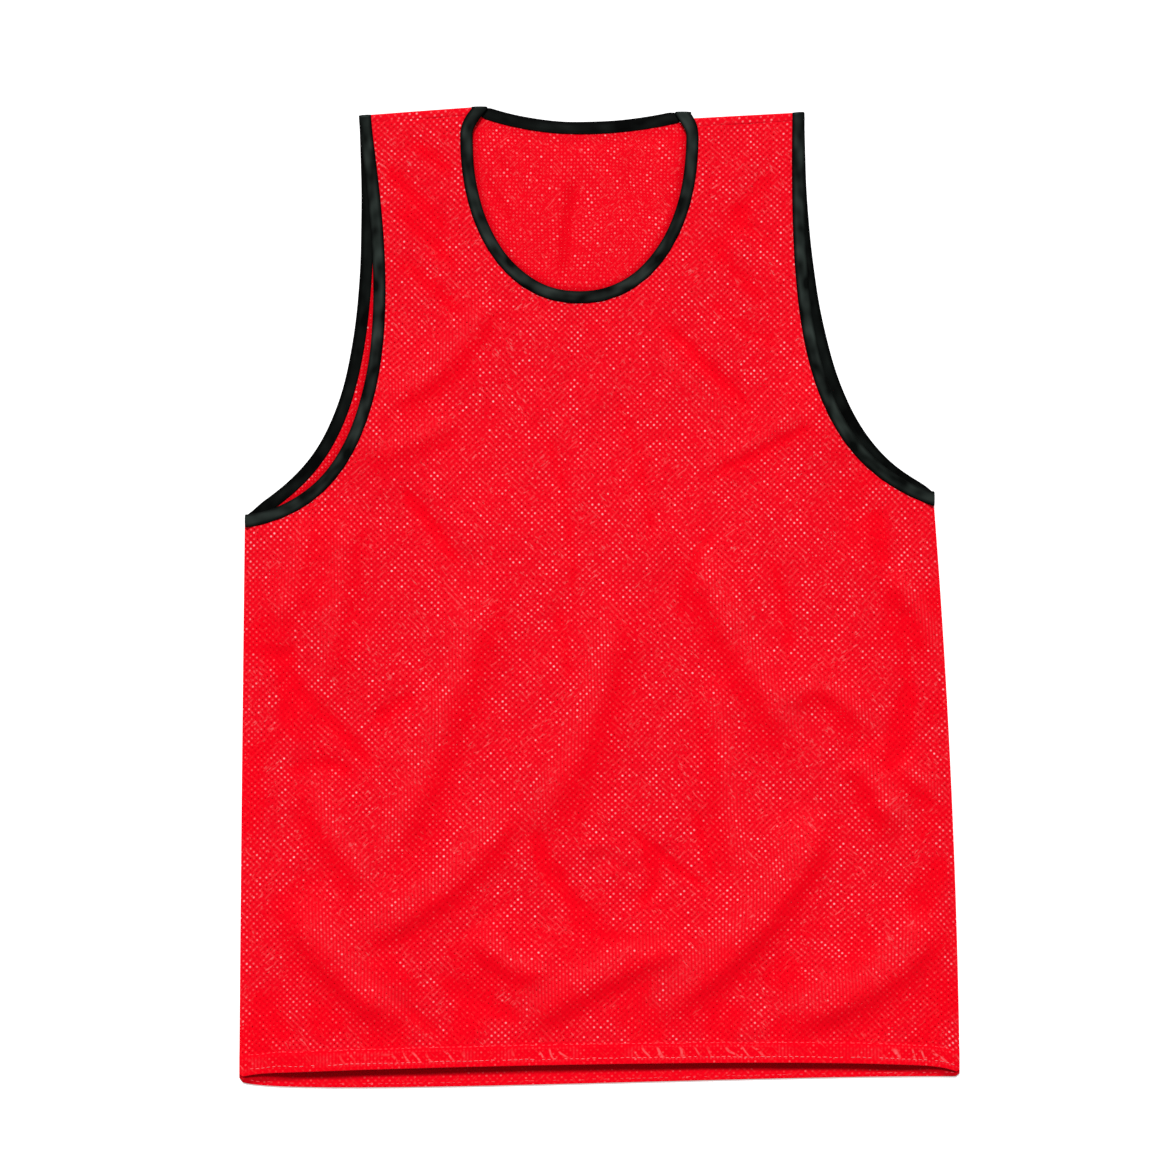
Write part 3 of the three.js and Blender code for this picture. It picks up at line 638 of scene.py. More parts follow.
class Nodes:
    """A short way to write a material's node tree."""

    def __init__(self, name):
        self.material = bpy.data.materials.new(name)
        self.material.use_nodes = True
        self.tree = self.material.node_tree
        self.shader = self.tree.nodes["Principled BSDF"]

    def add(self, kind, inputs=None, **settings):
        node = self.tree.nodes.new(kind)
        for name, value in settings.items():
            setattr(node, name, value)
        for name, value in (inputs or {}).items():
            self.put(node.inputs[name], value)
        return node

    def put(self, socket, value):
        if isinstance(value, bpy.types.NodeSocket):
            self.tree.links.new(value, socket)
        else:
            socket.default_value = value

    def maths(self, operation, *values):
        node = self.add("ShaderNodeMath", operation=operation)
        for socket, value in zip(node.inputs, values):
            self.put(socket, value)
        return node.outputs[0]

    def plus(self, first, *rest):
        for value in rest:
            first = self.maths("ADD", first, value)
        return first

    def minus(self, first, second):
        return self.maths("SUBTRACT", first, second)

    def times(self, first, *rest):
        for value in rest:
            first = self.maths("MULTIPLY", first, value)
        return first

    def wave(self, kind, turns):
        """A SINE or COSINE that comes round once for each step of 1 in turns."""
        return self.maths(kind, self.times(turns, 2 * math.pi))

    def grain(self, vector, scale, detail):
        """Even noise, with scale cells to each step of 1 in the vector."""
        noise = self.add("ShaderNodeTexNoise", {
            "Vector": vector, "Scale": scale, "Detail": detail})
        return noise.outputs["Fac"]

    def blend(self, factor, low, high):
        node = self.add("ShaderNodeMix", data_type="RGBA")
        self.put(node.inputs["Factor"], factor)
        self.put(node.inputs[6], low)
        self.put(node.inputs[7], high)
        return node.outputs[2]

    def bump(self, height, strength, distance):
        node = self.add("ShaderNodeBump", {
            "Height": height, "Strength": strength, "Distance": distance})
        self.put(self.shader.inputs["Normal"], node.outputs["Normal"])

    def spread(self, value, low, high, to_low=0.0, to_high=1.0):
        """Draws value's run from low to high out to another run, and stops at its ends."""
        node = self.add("ShaderNodeMapRange", {
            "Value": value, "From Min": low, "From Max": high, "To Min": to_low, "To Max": to_high,
        })
        return node.outputs["Result"]


def rgba(colour):
    return (*colour, 1.0)


def stretched_noise(n, where, angle, size, detail):
    """Noise stretched out along a way across the cloth: angle in degrees, size along and across."""
    turned = n.add("ShaderNodeMapping", {
        "Vector": where, "Rotation": (0.0, 0.0, math.radians(angle)),
        "Scale": (size[0], size[1], size[0])}, vector_type="TEXTURE")
    return n.grain(turned.outputs["Vector"], 1.0, detail)


def either(n, factor, first, second):
    """The first pattern where factor is 0 and the second where it is 1."""
    return n.plus(n.times(first, n.minus(1.0, factor)), n.times(second, factor))


CHAIN_WAYS = (56, 92, 122)  # degrees, each in its own part of the cloth
CHAIN_SIZE = (0.024, 0.0058)  # metres along and across
STROKE_WAYS = (38, -47)
STROKE_SIZE = (0.0056, 0.0017)


def chains_of_holes(n, where, swing):
    """The long patches in which painted glints shine at the rims of the holes: 0 to 1."""
    chains = [n.spread(stretched_noise(n, where, angle, CHAIN_SIZE, 2.0), 0.43, 0.56)
              for angle in CHAIN_WAYS]
    first, second = n.spread(swing, 0.42, 0.49), n.spread(swing, 0.51, 0.58)
    shares = (n.minus(1.0, first), n.minus(first, second), second)
    return n.plus(*(n.times(chain, share) for chain, share in zip(chains, shares)))


def shining_holes(n, u, v, ring, patch, chain):
    """Painted glints at the holes, a few bright and most of them faint."""
    site = n.add("ShaderNodeCombineXYZ", {
        "X": n.maths("ROUND", n.times(u, 2.0)), "Y": n.maths("ROUND", n.times(v, 2.0))})
    chance = n.add("ShaderNodeTexWhiteNoise", {"Vector": site.outputs["Vector"]})
    bright = n.spread(n.maths("POWER", chance.outputs["Value"], 2.6), 0.0, 1.0, 0.16, 1.0)
    dots = n.times(n.spread(ring, -0.42, -0.9), bright)
    return n.times(dots, n.times(n.spread(patch, 0.38, 0.56, 0.2, 1.0), chain))


def slanted_ribs(n, u, v, patch, torn):
    """Painted glints on short ribs between the holes, which lean one way or the other by patches.
    """
    rise, fall = n.wave("COSINE", n.plus(u, v)), n.wave("COSINE", n.minus(u, v))
    slants = either(n, n.spread(patch, 0.47, 0.53), n.spread(fall, -0.2, -0.95),
                    n.spread(rise, -0.2, -0.95))
    return n.times(slants, 0.055, n.spread(torn, 0.42, 0.58))


def loose_strokes(n, where, swing):
    """Short strokes of painted glint at random, two ways."""
    strokes = [n.spread(stretched_noise(n, where, angle, STROKE_SIZE, 1.0), 0.62, 0.74, 0.0, 0.16)
               for angle in STROKE_WAYS]
    return either(n, n.spread(swing, 0.46, 0.54), *strokes)


def hem_streaks(n, where, u, v, torn, shade):
    """Slanted painted gleams across a hem, where its shade value falls below -1."""
    sway = n.times(n.grain(where, 42.0, 1.0), 2.6)
    across = n.minus(n.times(u, 0.42), n.times(v, 0.34))
    streak = n.spread(n.wave("COSINE", n.plus(across, sway)), 0.7, 1.0)
    return n.times(streak, n.spread(torn, 0.34, 0.5), n.spread(shade, -1.0, -3.0, 0.0, 0.2))


def cloth_colour(n, cloth, ring, closure_and_shade, shade, crest_light, painted_glints):
    """The cloth's red, changed by steps: deep between the holes, deeper where the net is closed up
    and in painted shade, darker for painted shade, lighter for a painted highlight along the
    crests of folds, and pale for painted glints."""
    red = cloth.colour
    deep = [c * 0.93 for c in red]
    # Painted shade and painted highlight: the next three reds, deeper, darker and lighter.
    closed_and_shaded_red = (red[0] * 1.03, red[1] * 0.25, red[2] * 0.72)
    shaded_red = [c * 0.22 for c in red]
    lit = (red[0] * 1.02, red[1] + 0.0002, red[2] + 0.001)
    colour = n.blend(n.spread(ring, 0.2, 1.0, 0.0, 0.8), rgba(red), rgba(deep))
    colour = n.blend(n.spread(closure_and_shade, 0.0, 0.8), colour, rgba(closed_and_shaded_red))
    colour = n.blend(n.spread(shade, 0.0, 3.0), colour, rgba(shaded_red))
    colour = n.blend(crest_light, colour, rgba(lit))
    return n.blend(painted_glints, colour, rgba(cloth.shine))


def mesh_cloth_material(cloth):
    """Knitted polyester: ribs between staggered holes, fine yarns, a soft sheen and painted light.
    """
    n = Nodes("knitted_mesh")
    uv = n.add("ShaderNodeUVMap", uv_map="Weave").outputs["UV"]
    place = n.add("ShaderNodeSeparateXYZ", {"Vector": uv})
    u, v = place.outputs["X"], place.outputs["Y"]
    where = n.add("ShaderNodeTexCoord").outputs["Object"]
    # Closed: a closed-up net and painted shade, which take out the painted glints and deepen the
    # red.
    closure_and_shade = n.add("ShaderNodeAttribute", attribute_name="Closed").outputs["Fac"]
    shade = n.add("ShaderNodeAttribute", attribute_name="Shade").outputs["Fac"]
    fibre, patch = n.grain(where, 1400.0, 2.0), n.grain(where, 95.0, 2.0)
    swing, torn = n.grain(where, 19.0, 1.0), n.grain(where, 330.0, 1.0)
    ring = n.times(n.wave("COSINE", u), n.wave("COSINE", v))
    yarns = n.times(n.plus(n.wave("SINE", n.times(n.plus(u, v), 4)),
                           n.wave("SINE", n.times(n.minus(u, v), 4))), 0.5)

    chain = chains_of_holes(n, where, swing)
    painted_glints = n.plus(
        shining_holes(n, u, v, ring, patch, chain),
        n.times(slanted_ribs(n, u, v, patch, torn), n.spread(chain, 0.75, 0.2)),
        n.times(loose_strokes(n, where, swing), n.spread(chain, 0.5, 0.05)))
    # Painted glints fade where the net is closed up and in painted shade.
    painted_glints = n.times(painted_glints, n.spread(closure_and_shade, 0.0, 1.0, 1.0, 0.06))
    # Painted highlight along the crests of folds, where the shade value lies between 0 and -1.
    crest_light = n.times(n.spread(shade, 0.0, -1.0), n.spread(shade, -1.1, -1.6, 1.0, 0.0))
    rib_glints = n.spread(n.wave("COSINE", n.times(u, 2)), -0.1, 0.8, 0.0, 0.026)
    painted_glints = n.plus(painted_glints, n.times(rib_glints, crest_light), hem_streaks(n, where, u, v, torn, shade))
    colour = cloth_colour(n, cloth, ring, closure_and_shade, shade, crest_light, painted_glints)

    n.put(n.shader.inputs["Base Color"], colour)
    n.put(n.shader.inputs["Roughness"], n.spread(yarns, -1, 1, 0.62, 0.5))
    n.shader.inputs["Specular IOR Level"].default_value = 0.08
    n.shader.inputs["Specular Tint"].default_value = (1.0, 0.08, 0.12, 1.0)
    height = n.plus(n.times(ring, -0.5), n.plus(n.times(yarns, 0.22), n.times(fibre, 0.35)))
    n.bump(height, 0.55, 0.00034)
    through = n.add("ShaderNodeBsdfTranslucent", {"Color": colour})
    both = n.add("ShaderNodeMixShader")
    both.inputs["Fac"].default_value = cloth.translucency
    n.tree.links.new(n.shader.outputs["BSDF"], both.inputs[1])
    n.tree.links.new(through.outputs["BSDF"], both.inputs[2])
    n.tree.links.new(both.outputs["Shader"], n.tree.nodes["Material Output"].inputs["Surface"])
    return n.material


def tape_material(tape):
    """Satin binding tape: fine ribs along its length, uneven painted sheen and painted shade
    inside.
    """
    n = Nodes("satin_tape")
    rib, pick = 0.55, 0.5  # spacing of the ribs and of the threads across them
    uv = n.add("ShaderNodeUVMap", uv_map="Weave").outputs["UV"]
    place = n.add("ShaderNodeSeparateXYZ", {"Vector": uv})
    run, across = place.outputs["X"], place.outputs["Y"]
    ribs = n.maths("SINE", n.times(across, 2 * math.pi / rib))
    picks = n.maths("SINE", n.times(run, 2 * math.pi / pick))
    weave = n.times(n.plus(ribs, n.times(picks, 0.6)), 0.5)
    long_way = n.add("ShaderNodeCombineXYZ", {"X": n.times(run, 0.05), "Y": n.times(across, 0.09)})
    sheen = n.grain(long_way.outputs["Vector"], 1.0, 1.0)
    fibre = n.grain(n.add("ShaderNodeTexCoord").outputs["Object"], 1800.0, 2.0)
    shade = n.add("ShaderNodeAttribute", attribute_name="Shade").outputs["Fac"]
    from_middle = n.maths("ABSOLUTE", n.minus(n.maths("PINGPONG", across, 9.9), 4.9))
    crown = n.spread(from_middle, 4.6, 2.2)
    # Painted sheen: a lighter tape colour, strongest along the middle, faint at the edges, and
    # nearly none on the inner face, which lies in painted shade.
    painted_sheen = n.plus(n.spread(sheen, 0.34, 0.74, 0.0, 0.9), n.spread(weave, -1, 1, 0.0, 0.1))
    painted_sheen = n.times(painted_sheen, n.spread(crown, 0.0, 1.0, 0.05, 1.0), n.spread(shade, 0.0, 1.0, 1.0, 0.0))
    light = [c * 90 for c in tape.colour]
    n.put(n.shader.inputs["Base Color"], n.blend(painted_sheen, rgba(tape.colour), rgba(light)))
    n.put(n.shader.inputs["Roughness"], n.spread(sheen, 0.35, 0.7, 0.56, 0.38))
    n.shader.inputs["Specular IOR Level"].default_value = 0.02
    n.bump(n.plus(weave, fibre), 0.35, 0.0002)
    return n.material


def thread_material(name, colour):
    """Twisted sewing thread."""
    n = Nodes(name)
    twist = n.grain(n.add("ShaderNodeTexCoord").outputs["Object"], 2600.0, 1.0)
    low = [c * 0.7 for c in colour]
    n.put(n.shader.inputs["Base Color"],
          n.blend(n.spread(twist, 0.35, 0.65), rgba(low), rgba(colour)))
    n.shader.inputs["Roughness"].default_value = 0.5
    n.bump(twist, 0.4, 0.0001)
    return n.material


def material(name, maker, *facts):
    """The named material, made once."""
    return bpy.data.materials.get(name) or maker(*facts)


# ---- Sizes a user would change ----------------------------------------------------------------


class BibCloth(PropertyGroup):
    """The knitted mesh cloth."""

    pitch: FloatProperty(name="Hole pitch", description="Distance between holes along a row",
                         default=0.00525, unit="LENGTH", precision=5)
    row: FloatProperty(name="Row spacing", description="Distance between rows of holes",
                       default=0.00245, unit="LENGTH", precision=5)
    back_pitch: FloatProperty(name="Back hole pitch", default=0.0055, unit="LENGTH",
                              description="Hole pitch of the back as it lies", precision=5)
    back_row: FloatProperty(name="Back row spacing", default=0.0026, unit="LENGTH",
                            description="Row spacing of the back as it lies", precision=5)
    hole_width: FloatProperty(name="Hole width", description="Opening of a hole along the row",
                              default=0.0008, unit="LENGTH", precision=5)
    hole_height: FloatProperty(name="Hole height", description="Opening of a hole up the cloth",
                               default=0.0008, unit="LENGTH", precision=5)
    back_hole_width: FloatProperty(name="Back hole width", default=0.0003, unit="LENGTH",
                                   description="The same where the net has closed up",
                                   precision=5)
    back_hole_height: FloatProperty(name="Back hole height", default=0.00028, unit="LENGTH",
                                    description="The same where the net has closed up",
                                    precision=5)
    unevenness: FloatProperty(name="Unevenness", description="Share by which holes vary",
                              default=0.75, min=0.0, max=0.9, subtype="FACTOR")
    colour: FloatVectorProperty(name="Cloth colour", description="Colour of the cloth",
                                default=(0.828, 0.0025, 0.0122), size=3, subtype="COLOR")
    # shine is the colour of the painted glints.
    shine: FloatVectorProperty(name="Yarn shine", description="Colour of the ribs that shine",
                               default=(0.93, 0.52, 0.53), size=3, subtype="COLOR")
    translucency: FloatProperty(name="Translucency", default=0.16, min=0.0, max=1.0,
                                description="Share of light let through", subtype="FACTOR")
    seed: IntProperty(name="Seed", description="Changes the unevenness of the holes", default=7)


class BibTape(PropertyGroup):
    """The binding tape round the neck and armholes."""

    pucker: FloatProperty(name="Pucker", description="Height of the small waves of the tape",
                          default=0.00022, unit="LENGTH", precision=5)
    wave: FloatProperty(name="Pucker length", description="Length of the small waves",
                        default=0.0125, unit="LENGTH", precision=5)
    colour: FloatVectorProperty(name="Tape colour", description="Colour of the tape",
                                default=(0.0003, 0.0004, 0.00035), size=3, subtype="COLOR")


class BibStitches(PropertyGroup):
    """The sewing thread."""

    period: FloatProperty(name="Stitch period", description="From one stitch to the next",
                          default=0.0043, unit="LENGTH", precision=5)
    length: FloatProperty(name="Stitch length", description="Length of the thread that shows",
                          default=0.0024, unit="LENGTH", precision=5)
    thread: FloatProperty(name="Thread", description="Thickness of the thread",
                          default=0.00038, unit="LENGTH", precision=5)
    colour: FloatVectorProperty(name="Thread colour", description="Colour of the thread",
                                default=(0.95, 0.06, 0.09), size=3, subtype="COLOR")
    pale: FloatVectorProperty(name="Pale thread colour", size=3, subtype="COLOR",
                              description="Colour of the lower coverstitch row",
                              default=(0.95, 0.25, 0.27))
    seed: IntProperty(name="Seed", description="Changes how uneven the stitches are", default=3)


class BibStage(PropertyGroup):
    """Floor, lights and camera."""

    floor_colour: FloatVectorProperty(name="Floor colour", description="Colour of the floor",
                                      default=(0.93, 0.93, 0.93), size=3, subtype="COLOR")
    floor_glow: FloatProperty(name="Floor glow", description="Light given by the floor itself",
                              default=0.28, min=0.0)
    key_power: FloatProperty(name="Key light", description="Strength of the main light",
                             default=3.7, min=0.0)
    fill: FloatProperty(name="Fill", description="Strength of the light from all round",
                        default=0.4, min=0.0)
    height: FloatProperty(name="Camera height", description="Height of the camera",
                          default=2.124, unit="LENGTH", subtype="DISTANCE")
    lens: FloatProperty(name="Lens", description="Focal length in millimetres",
                        default=85.0, min=10.0)


# ---- Cloth panels ----------------------------------------------------------------------------


def across_at(y, share):
    return mix(side_at("left", y), side_at("right", y), share)


def strap_tops(down, x):
    """Level across both straps, moved down from the folds, level between them."""
    left, right = SHOULDERS["left"], SHOULDERS["right"]
    places = [left["armhole"], left["neck"], right["neck"], right["armhole"]]
    return np.interp(x, [p[0] for p in places], [p[1] for p in places]) - down


def panel_place(layer, columns, rows, down, level_at, drift):
    """place(i, j) of a panel whose rows follow the hem below and the shoulders above.

    drift is what is added to the seeds and how far the net strays from an even one.
    """
    lets_go = 6  # how quickly the rows leave off following an edge

    def place(i, j):
        k = j / rows
        level = mix(PANEL_BOTTOM, PANEL_TOP, k)
        x = across_at(level, i / columns)
        y = level + (hem_seam(layer, x) - PANEL_BOTTOM) * (1 - k) ** lets_go
        y = y + (strap_tops(down, x) - PANEL_TOP) * k**lets_go
        free = smooth(0, 22, from_side(x, y)) * smooth(0, 22, y - hem_seam(layer, x))
        free = free * smooth(0, 12, strap_tops(down, x) - y)
        x = x + free * wander(x, y, 21 + drift[0], drift[1], 60, 120)
        y = y + free * wander(x, y, 22 + drift[0], drift[1], 60, 120)
        return np.stack([x, y, level_at(x, y)], 1)

    return place


def panel_outline(layer):
    """Cut of a panel, wide at the sides and the bottom where its lattice ends by itself."""
    left, right = armhole_seam("left", layer), armhole_seam("right", layer)
    neck = NECK_SEAMS[layer]
    top, far, low = 400.0, 400, -600
    return np.vstack([
        [(-far, low), (-far, left[-1][1])],
        left[::-1],
        [(left[0][0], top), (neck[0][0], top)],
        neck,
        [(neck[-1][0], top), (right[0][0], top)],
        right,
        [(far, right[-1][1]), (far, low)],
    ])


def panel_keep(layer, tuck):
    """keep(points) of a panel: inside its cut, or just past it under the tape."""
    outline = panel_outline(layer)
    lines = [NECK_SEAMS[layer], *(armhole_seam(side, layer) for side in ARMHOLES)]

    def keep(points):
        x, y = points[:, 0], points[:, 1]
        edge = np.min([np.abs(nearest(line[::2], x, y)[1]) for line in lines], axis=0)
        return inside(outline, x, y) | (edge < tuck)

    return keep


def tape_shadow_band(x, y):
    """Painted shadow on the back's cloth beside the front's tapes, which closes up its net: 0 to 1.
    """
    seams = [NECK_FRONT[::3], armhole_seam("left", "front", 40)]
    away = np.min([np.abs(np.abs(nearest(seam, x, y)[1]) - TAPE_WIDTH) for seam in seams], axis=0)
    return bell(away, 3.2)


def cloth_hole(cloth, part):
    """A hole's width and height in lattice steps: half pitches across and rows up."""
    width, height = {
        "front": (cloth.hole_width, cloth.hole_height),
        "back": (cloth.back_hole_width, cloth.back_hole_height),
    }[part]
    return width / (cloth.pitch / 2), height / cloth.row


def plain_red_patches(x, y):
    """The uneven places beside the side seams and above the hem where the painted glints fade and
    the red deepens: 0 to 1."""
    beside = 1 - smooth(30, 110, from_side(x, y))
    low = 1 - smooth(-310, -200, y)
    return np.maximum(0.7 * beside * smooth(0.05, 0.7, wander(x, y, 55, 1.0, 34, 90)),
                      0.8 * low * smooth(-0.35, 0.5, wander(x, y, 57, 1.0, 26, 70)))


def front_panel(cloth):
    columns = int(round(WIDTH / (cloth.pitch / MM / 2)))
    rows = int(round(PANEL_LENGTH / (cloth.row / MM)))
    tucked_under_flap = 2.4
    down = FLAP - tucked_under_flap
    place = panel_place("front", columns, rows, down, front_level, (0, 1.1))
    points, lattice, faces = netting(
        columns, rows, place, panel_keep("front", UNDER_TAPE), cloth_hole(cloth, "front"),
        cloth.unevenness, cloth.seed)
    under_flap = smooth(-0.6, 1.6, points[:, 1] - strap_tops(FLAP, points[:, 0]))
    points[:, 2] -= 0.5 * under_flap
    x, y = points[:, 0], points[:, 1]
    # Painted shade closes up the net on steep sides, on slopes away from the light and in troughs;
    # painted highlights along the tops of folds go in as negative shade.
    steep_side_shade, drawn = fold_shade(x, y)
    closed = np.max([slope_shade(front_level, FRONT_CREASES, x, y), steep_side_shade, plain_red_patches(x, y),
                     0.3 * drawn], axis=0)
    sheet = Sheet()
    sheet.add(points, lattice / (columns, rows), lattice / 2, faces, closed, -drawn)
    return sheet


def shoulder_strip(side, sheet, weave_pitch):
    """The back cloth turned over one shoulder: over the fold and down to the shoulder seam."""
    outward = ARMHOLES[side]["outward"]
    arm = armhole_seam(side, "front")
    radius = SHOULDER_RADIUS - CLOTH / 2
    turn = math.pi * radius
    down = SHOULDER_RADIUS
    reach = FLAP - down
    under_arm_tape, under_neck_tape = 3.5, 3.0
    arcs = np.concatenate([
        np.linspace(-2.8, 0, 4)[:-1], np.linspace(0, turn, 11),
        np.linspace(turn, turn + reach, 6)[1:], [turn + reach + 0.25],
    ])
    across = np.linspace(0, 1, 41)
    arc, k = np.meshgrid(arcs, across, indexing="ij")
    arm_x = SHOULDERS[side]["armhole"][0] + outward * under_arm_tape
    neck_x = SHOULDERS[side]["neck"][0] - outward * under_neck_tape
    x = mix(arm_x, neck_x, k)
    fold = strap_level(side, down, x)
    angle = np.clip(arc / radius, 0, math.pi)
    y = fold + np.where(arc < 0, arc, radius * np.sin(angle))
    y = y - np.maximum(0, arc - turn)
    seam_x = np.interp(y, arm[::-1, 1], arm[::-1, 0]) + outward * under_arm_tape
    neck_here = NECK["centre"] + outward * neck_half_width(np.minimum(y, 385))
    x = mix(seam_x, neck_here - outward * under_neck_tape, k)
    z = SHOULDER_RADIUS - radius * np.cos(angle)
    z = z - 0.16 * smooth(turn + reach - 2.0, turn + reach, arc)
    z = np.where(arc > turn + reach, z - 0.3, z)
    z = z + 0.08 * wander(x, arc * 3, 31, 1.0, 10, 26) * smooth(-2, 1, arc)
    points = np.stack([x.ravel(), y.ravel(), z.ravel()], 1)
    flat = np.stack([
        (x.ravel() - LEFT_HEM) / WIDTH, (PANEL_LENGTH + 3 + arc.ravel()) / (PANEL_LENGTH + 16),
    ], 1)
    weave = np.stack([x.ravel() / weave_pitch[0], arc.ravel() / (2 * weave_pitch[1])], 1)
    faces = grid_faces(len(arcs), len(across))
    if side == "right":
        faces = faces[:, ::-1]
    sheet.add(points, flat, weave, [faces])


def back_panel(cloth):
    columns = int(round(WIDTH / (cloth.back_pitch / MM / 2)))
    rows = int(round(PANEL_LENGTH / (cloth.back_row / MM)))
    down = SHOULDER_RADIUS + 2.2
    place = panel_place("back", columns, rows, down, back_level, (100, 2.4))
    points, lattice, faces = netting(
        columns, rows, place, panel_keep("back", UNDER_TAPE), cloth_hole(cloth, "back"),
        cloth.unevenness, cloth.seed + 1)
    sheet = Sheet()
    x, y = points[:, 0], points[:, 1]
    # Painted shade over the whole back, stronger on slopes away from the light, in troughs, and as
    # a painted shadow beside the front's tapes.
    tape_shadow = tape_shadow_band(x, y)
    crease_shade = slope_shade(back_level, BACK_CREASES, x, y)
    sheet.add(points, lattice / (columns, rows * 1.02), lattice / 2, faces,
              np.minimum(1, 0.2 + 0.8 * crease_shade + tape_shadow),
              np.minimum(1, 0.25 + 0.3 * crease_shade + tape_shadow))
    pitch = (cloth.back_pitch / MM, cloth.back_row / MM)
    for side in ("left", "right"):
        shoulder_strip(side, sheet, pitch)
    return sheet


# ---- Hems ------------------------------------------------------------------------------------


HEM_ROW = 4.9  # from one row of holes to the next in the turned-up cloth


def hem(layer, cloth):
    """Cloth turned up at the lower edge: outer layer, rolled edge and inner layer."""
    front = layer == "front"
    pitch = (cloth.pitch if front else cloth.back_pitch) / MM
    columns = int(round(WIDTH / (pitch / 2)))
    radius, lip, corner_radius = 0.62, 1.6, 4.2
    depth = HEM_DEPTH - lip - radius
    roll = math.pi * radius
    total = depth + lip + roll + lip + depth

    def arc_place(share, arc):
        x = across_at(PANEL_BOTTOM, share)
        seam = hem_seam(layer, x)
        straight = HEM_DEPTH - radius
        angle = np.clip((arc - straight) / radius, 0, math.pi)
        y = seam - np.minimum(arc, straight) - radius * np.sin(angle)
        y = y + np.maximum(0, arc - straight - roll)
        corner = np.minimum(x - side_at("left", y), side_at("right", y) - x)
        lift = np.clip(corner_radius - corner, 0, corner_radius)
        rounded = corner_radius - np.sqrt(np.maximum(0, corner_radius**2 - lift**2))
        y = y + rounded * smooth(10, 15.5, seam - y)
        if front:
            middle = front_level(x, y)
            spread_out = smooth(0, 2.4, arc) * (1 - bell(corner, 3.0))
            z = middle + radius * np.cos(angle) * spread_out
        else:
            side = side_level("back", x, y) - 0.06
            out = 0.38 + radius * (1 - np.cos(angle))
            out = mix(1.0, out, smooth(0, 2.4, np.minimum(arc, total - arc + 2)))
            z = mix(out, side, bell(corner, 3.0))
        seed, reach = (41, 0.16) if front else (42, 0.056)
        ripple = wander(x, y, seed, reach, 14, 40)
        z = z + ripple * smooth(0, 4, arc) * smooth(0, 12, corner)
        return np.stack([x, y, z], 1)

    share = np.arange(columns + 1) / columns
    turned = depth + lip + roll + lip
    arcs = np.concatenate([
        np.linspace(0, depth, 7), depth + np.linspace(0.6, lip, 2),
        depth + lip + np.linspace(0, roll, 9)[1:], np.linspace(turned - 1.0, total, 8)])
    arc, k = np.meshgrid(arcs, share, indexing="ij")
    points = arc_place(k.ravel(), arc.ravel())
    flat = np.stack([k.ravel(), arc.ravel() / total], 1)
    weave = np.stack([k.ravel() * columns / 2, arc.ravel() / HEM_ROW], 1)
    x, y = points[:, 0], points[:, 1]
    if front:
        closed = 0.82
        # Patches along the front hem that get painted gleams, set as negative shade.
        gleam_patches = smooth(-0.45, 0.35, wander(x, 0 * y, 45, 1.0, 30, 110))
        gleam_patches = gleam_patches * smooth(2.0, 5.0, arc.ravel()) * smooth(13.0, 10.0, arc.ravel())
        shade = -3.0 * gleam_patches
    else:
        # Painted shadow on the back hem under the front hem's edge: its net closes up and its red
        # darkens.
        below = hem_seam("front", x) - HEM_DEPTH - y
        gap = mix(6.2, 5.4, smooth(-200, 0, x))  # what the front hem keeps in the dark
        hem_gap_shadow = 1 - smooth(0, 1.6, below - gap)
        closed, shade = mix(0.6, 1.0, hem_gap_shadow), 1.6 * hem_gap_shadow
    sheet = Sheet()
    sheet.add(points, flat, weave, [grid_faces(len(arcs), len(share))[:, ::-1]], closed, shade)
    return sheet


# ---- Binding tape ----------------------------------------------------------------------------

# Section of the folded tape: across (1 is its folded edge, -1 its sewn edge) and thickness.
TAPE_SECTION = [
    (1.0, 0.0), (0.98, 0.42), (0.92, 0.72), (0.8, 0.88), (0.5, 0.97), (0.1, 1.0), (-0.3, 0.98),
    (-0.6, 0.9), (-0.74, 0.74), (-0.84, 0.8), (-0.95, 0.7), (-1.0, 0.36),
    (-1.0, -0.36), (-0.95, -0.7), (-0.84, -0.8), (-0.74, -0.74), (-0.6, -0.9), (-0.3, -0.98),
    (0.1, -1.0), (0.5, -0.97), (0.8, -0.88), (0.92, -0.72), (0.98, -0.42),
]


def free_edge(seam, side, start_span, end_span, turn_in):
    """Folded edge of a tape, turned so that each end lies along the fold it turns over."""
    normal = left_normals(seam) * side * TAPE_WIDTH
    run = run_of(seam)
    at_start = (1 - smooth(0, turn_in, run))[:, None]
    at_end = (1 - smooth(0, turn_in, run[-1] - run))[:, None]
    turned = mix(mix(normal, np.array(start_span), at_start), np.array(end_span), at_end)
    return seam + turned


def layer_stations(seam, free, levels, facing):
    """Stations along one layer: middle, half width towards the folded edge, and up."""
    middle = (seam + free) / 2
    count = len(seam)
    return (
        np.column_stack([middle, levels]),
        np.column_stack([(free - seam) / 2, np.zeros(count)]),
        np.column_stack([np.zeros(count), np.zeros(count), np.full(count, float(facing))]),
    )


def turn_stations(station, outward, steps=11):
    """Stations round a turned-over end, from the upper layer down to the lower one."""
    middle, wide, _ = station
    angle = np.linspace(0, math.pi, steps + 2)[1:-1, None]
    outward = np.array(outward, float)
    up = outward * np.sin(angle) + np.array([0, 0, 1.0]) * np.cos(angle)
    flat = np.array([middle[0], middle[1], 0.0])
    top = CLEAR + CLOTH / 2
    places = flat + outward * TURN_RADIUS * np.sin(angle)
    places[:, 2] = (top - TURN_RADIUS + TURN_RADIUS * np.cos(angle))[:, 0]
    return places, np.repeat(wide[None], steps, 0), up


def join(*parts):
    return tuple(np.vstack([p[k] for p in parts]) for k in range(3))


def turned_round(part):
    return tuple(values[::-1] for values in part)


def seam_levels(seam, free, start_level, end_level):
    middle = (seam + (seam + free) / 2) / 2
    levels = underside(middle[:, 0], middle[:, 1]) + CLOTH / 2
    levels[0], levels[-1] = start_level, end_level
    return levels


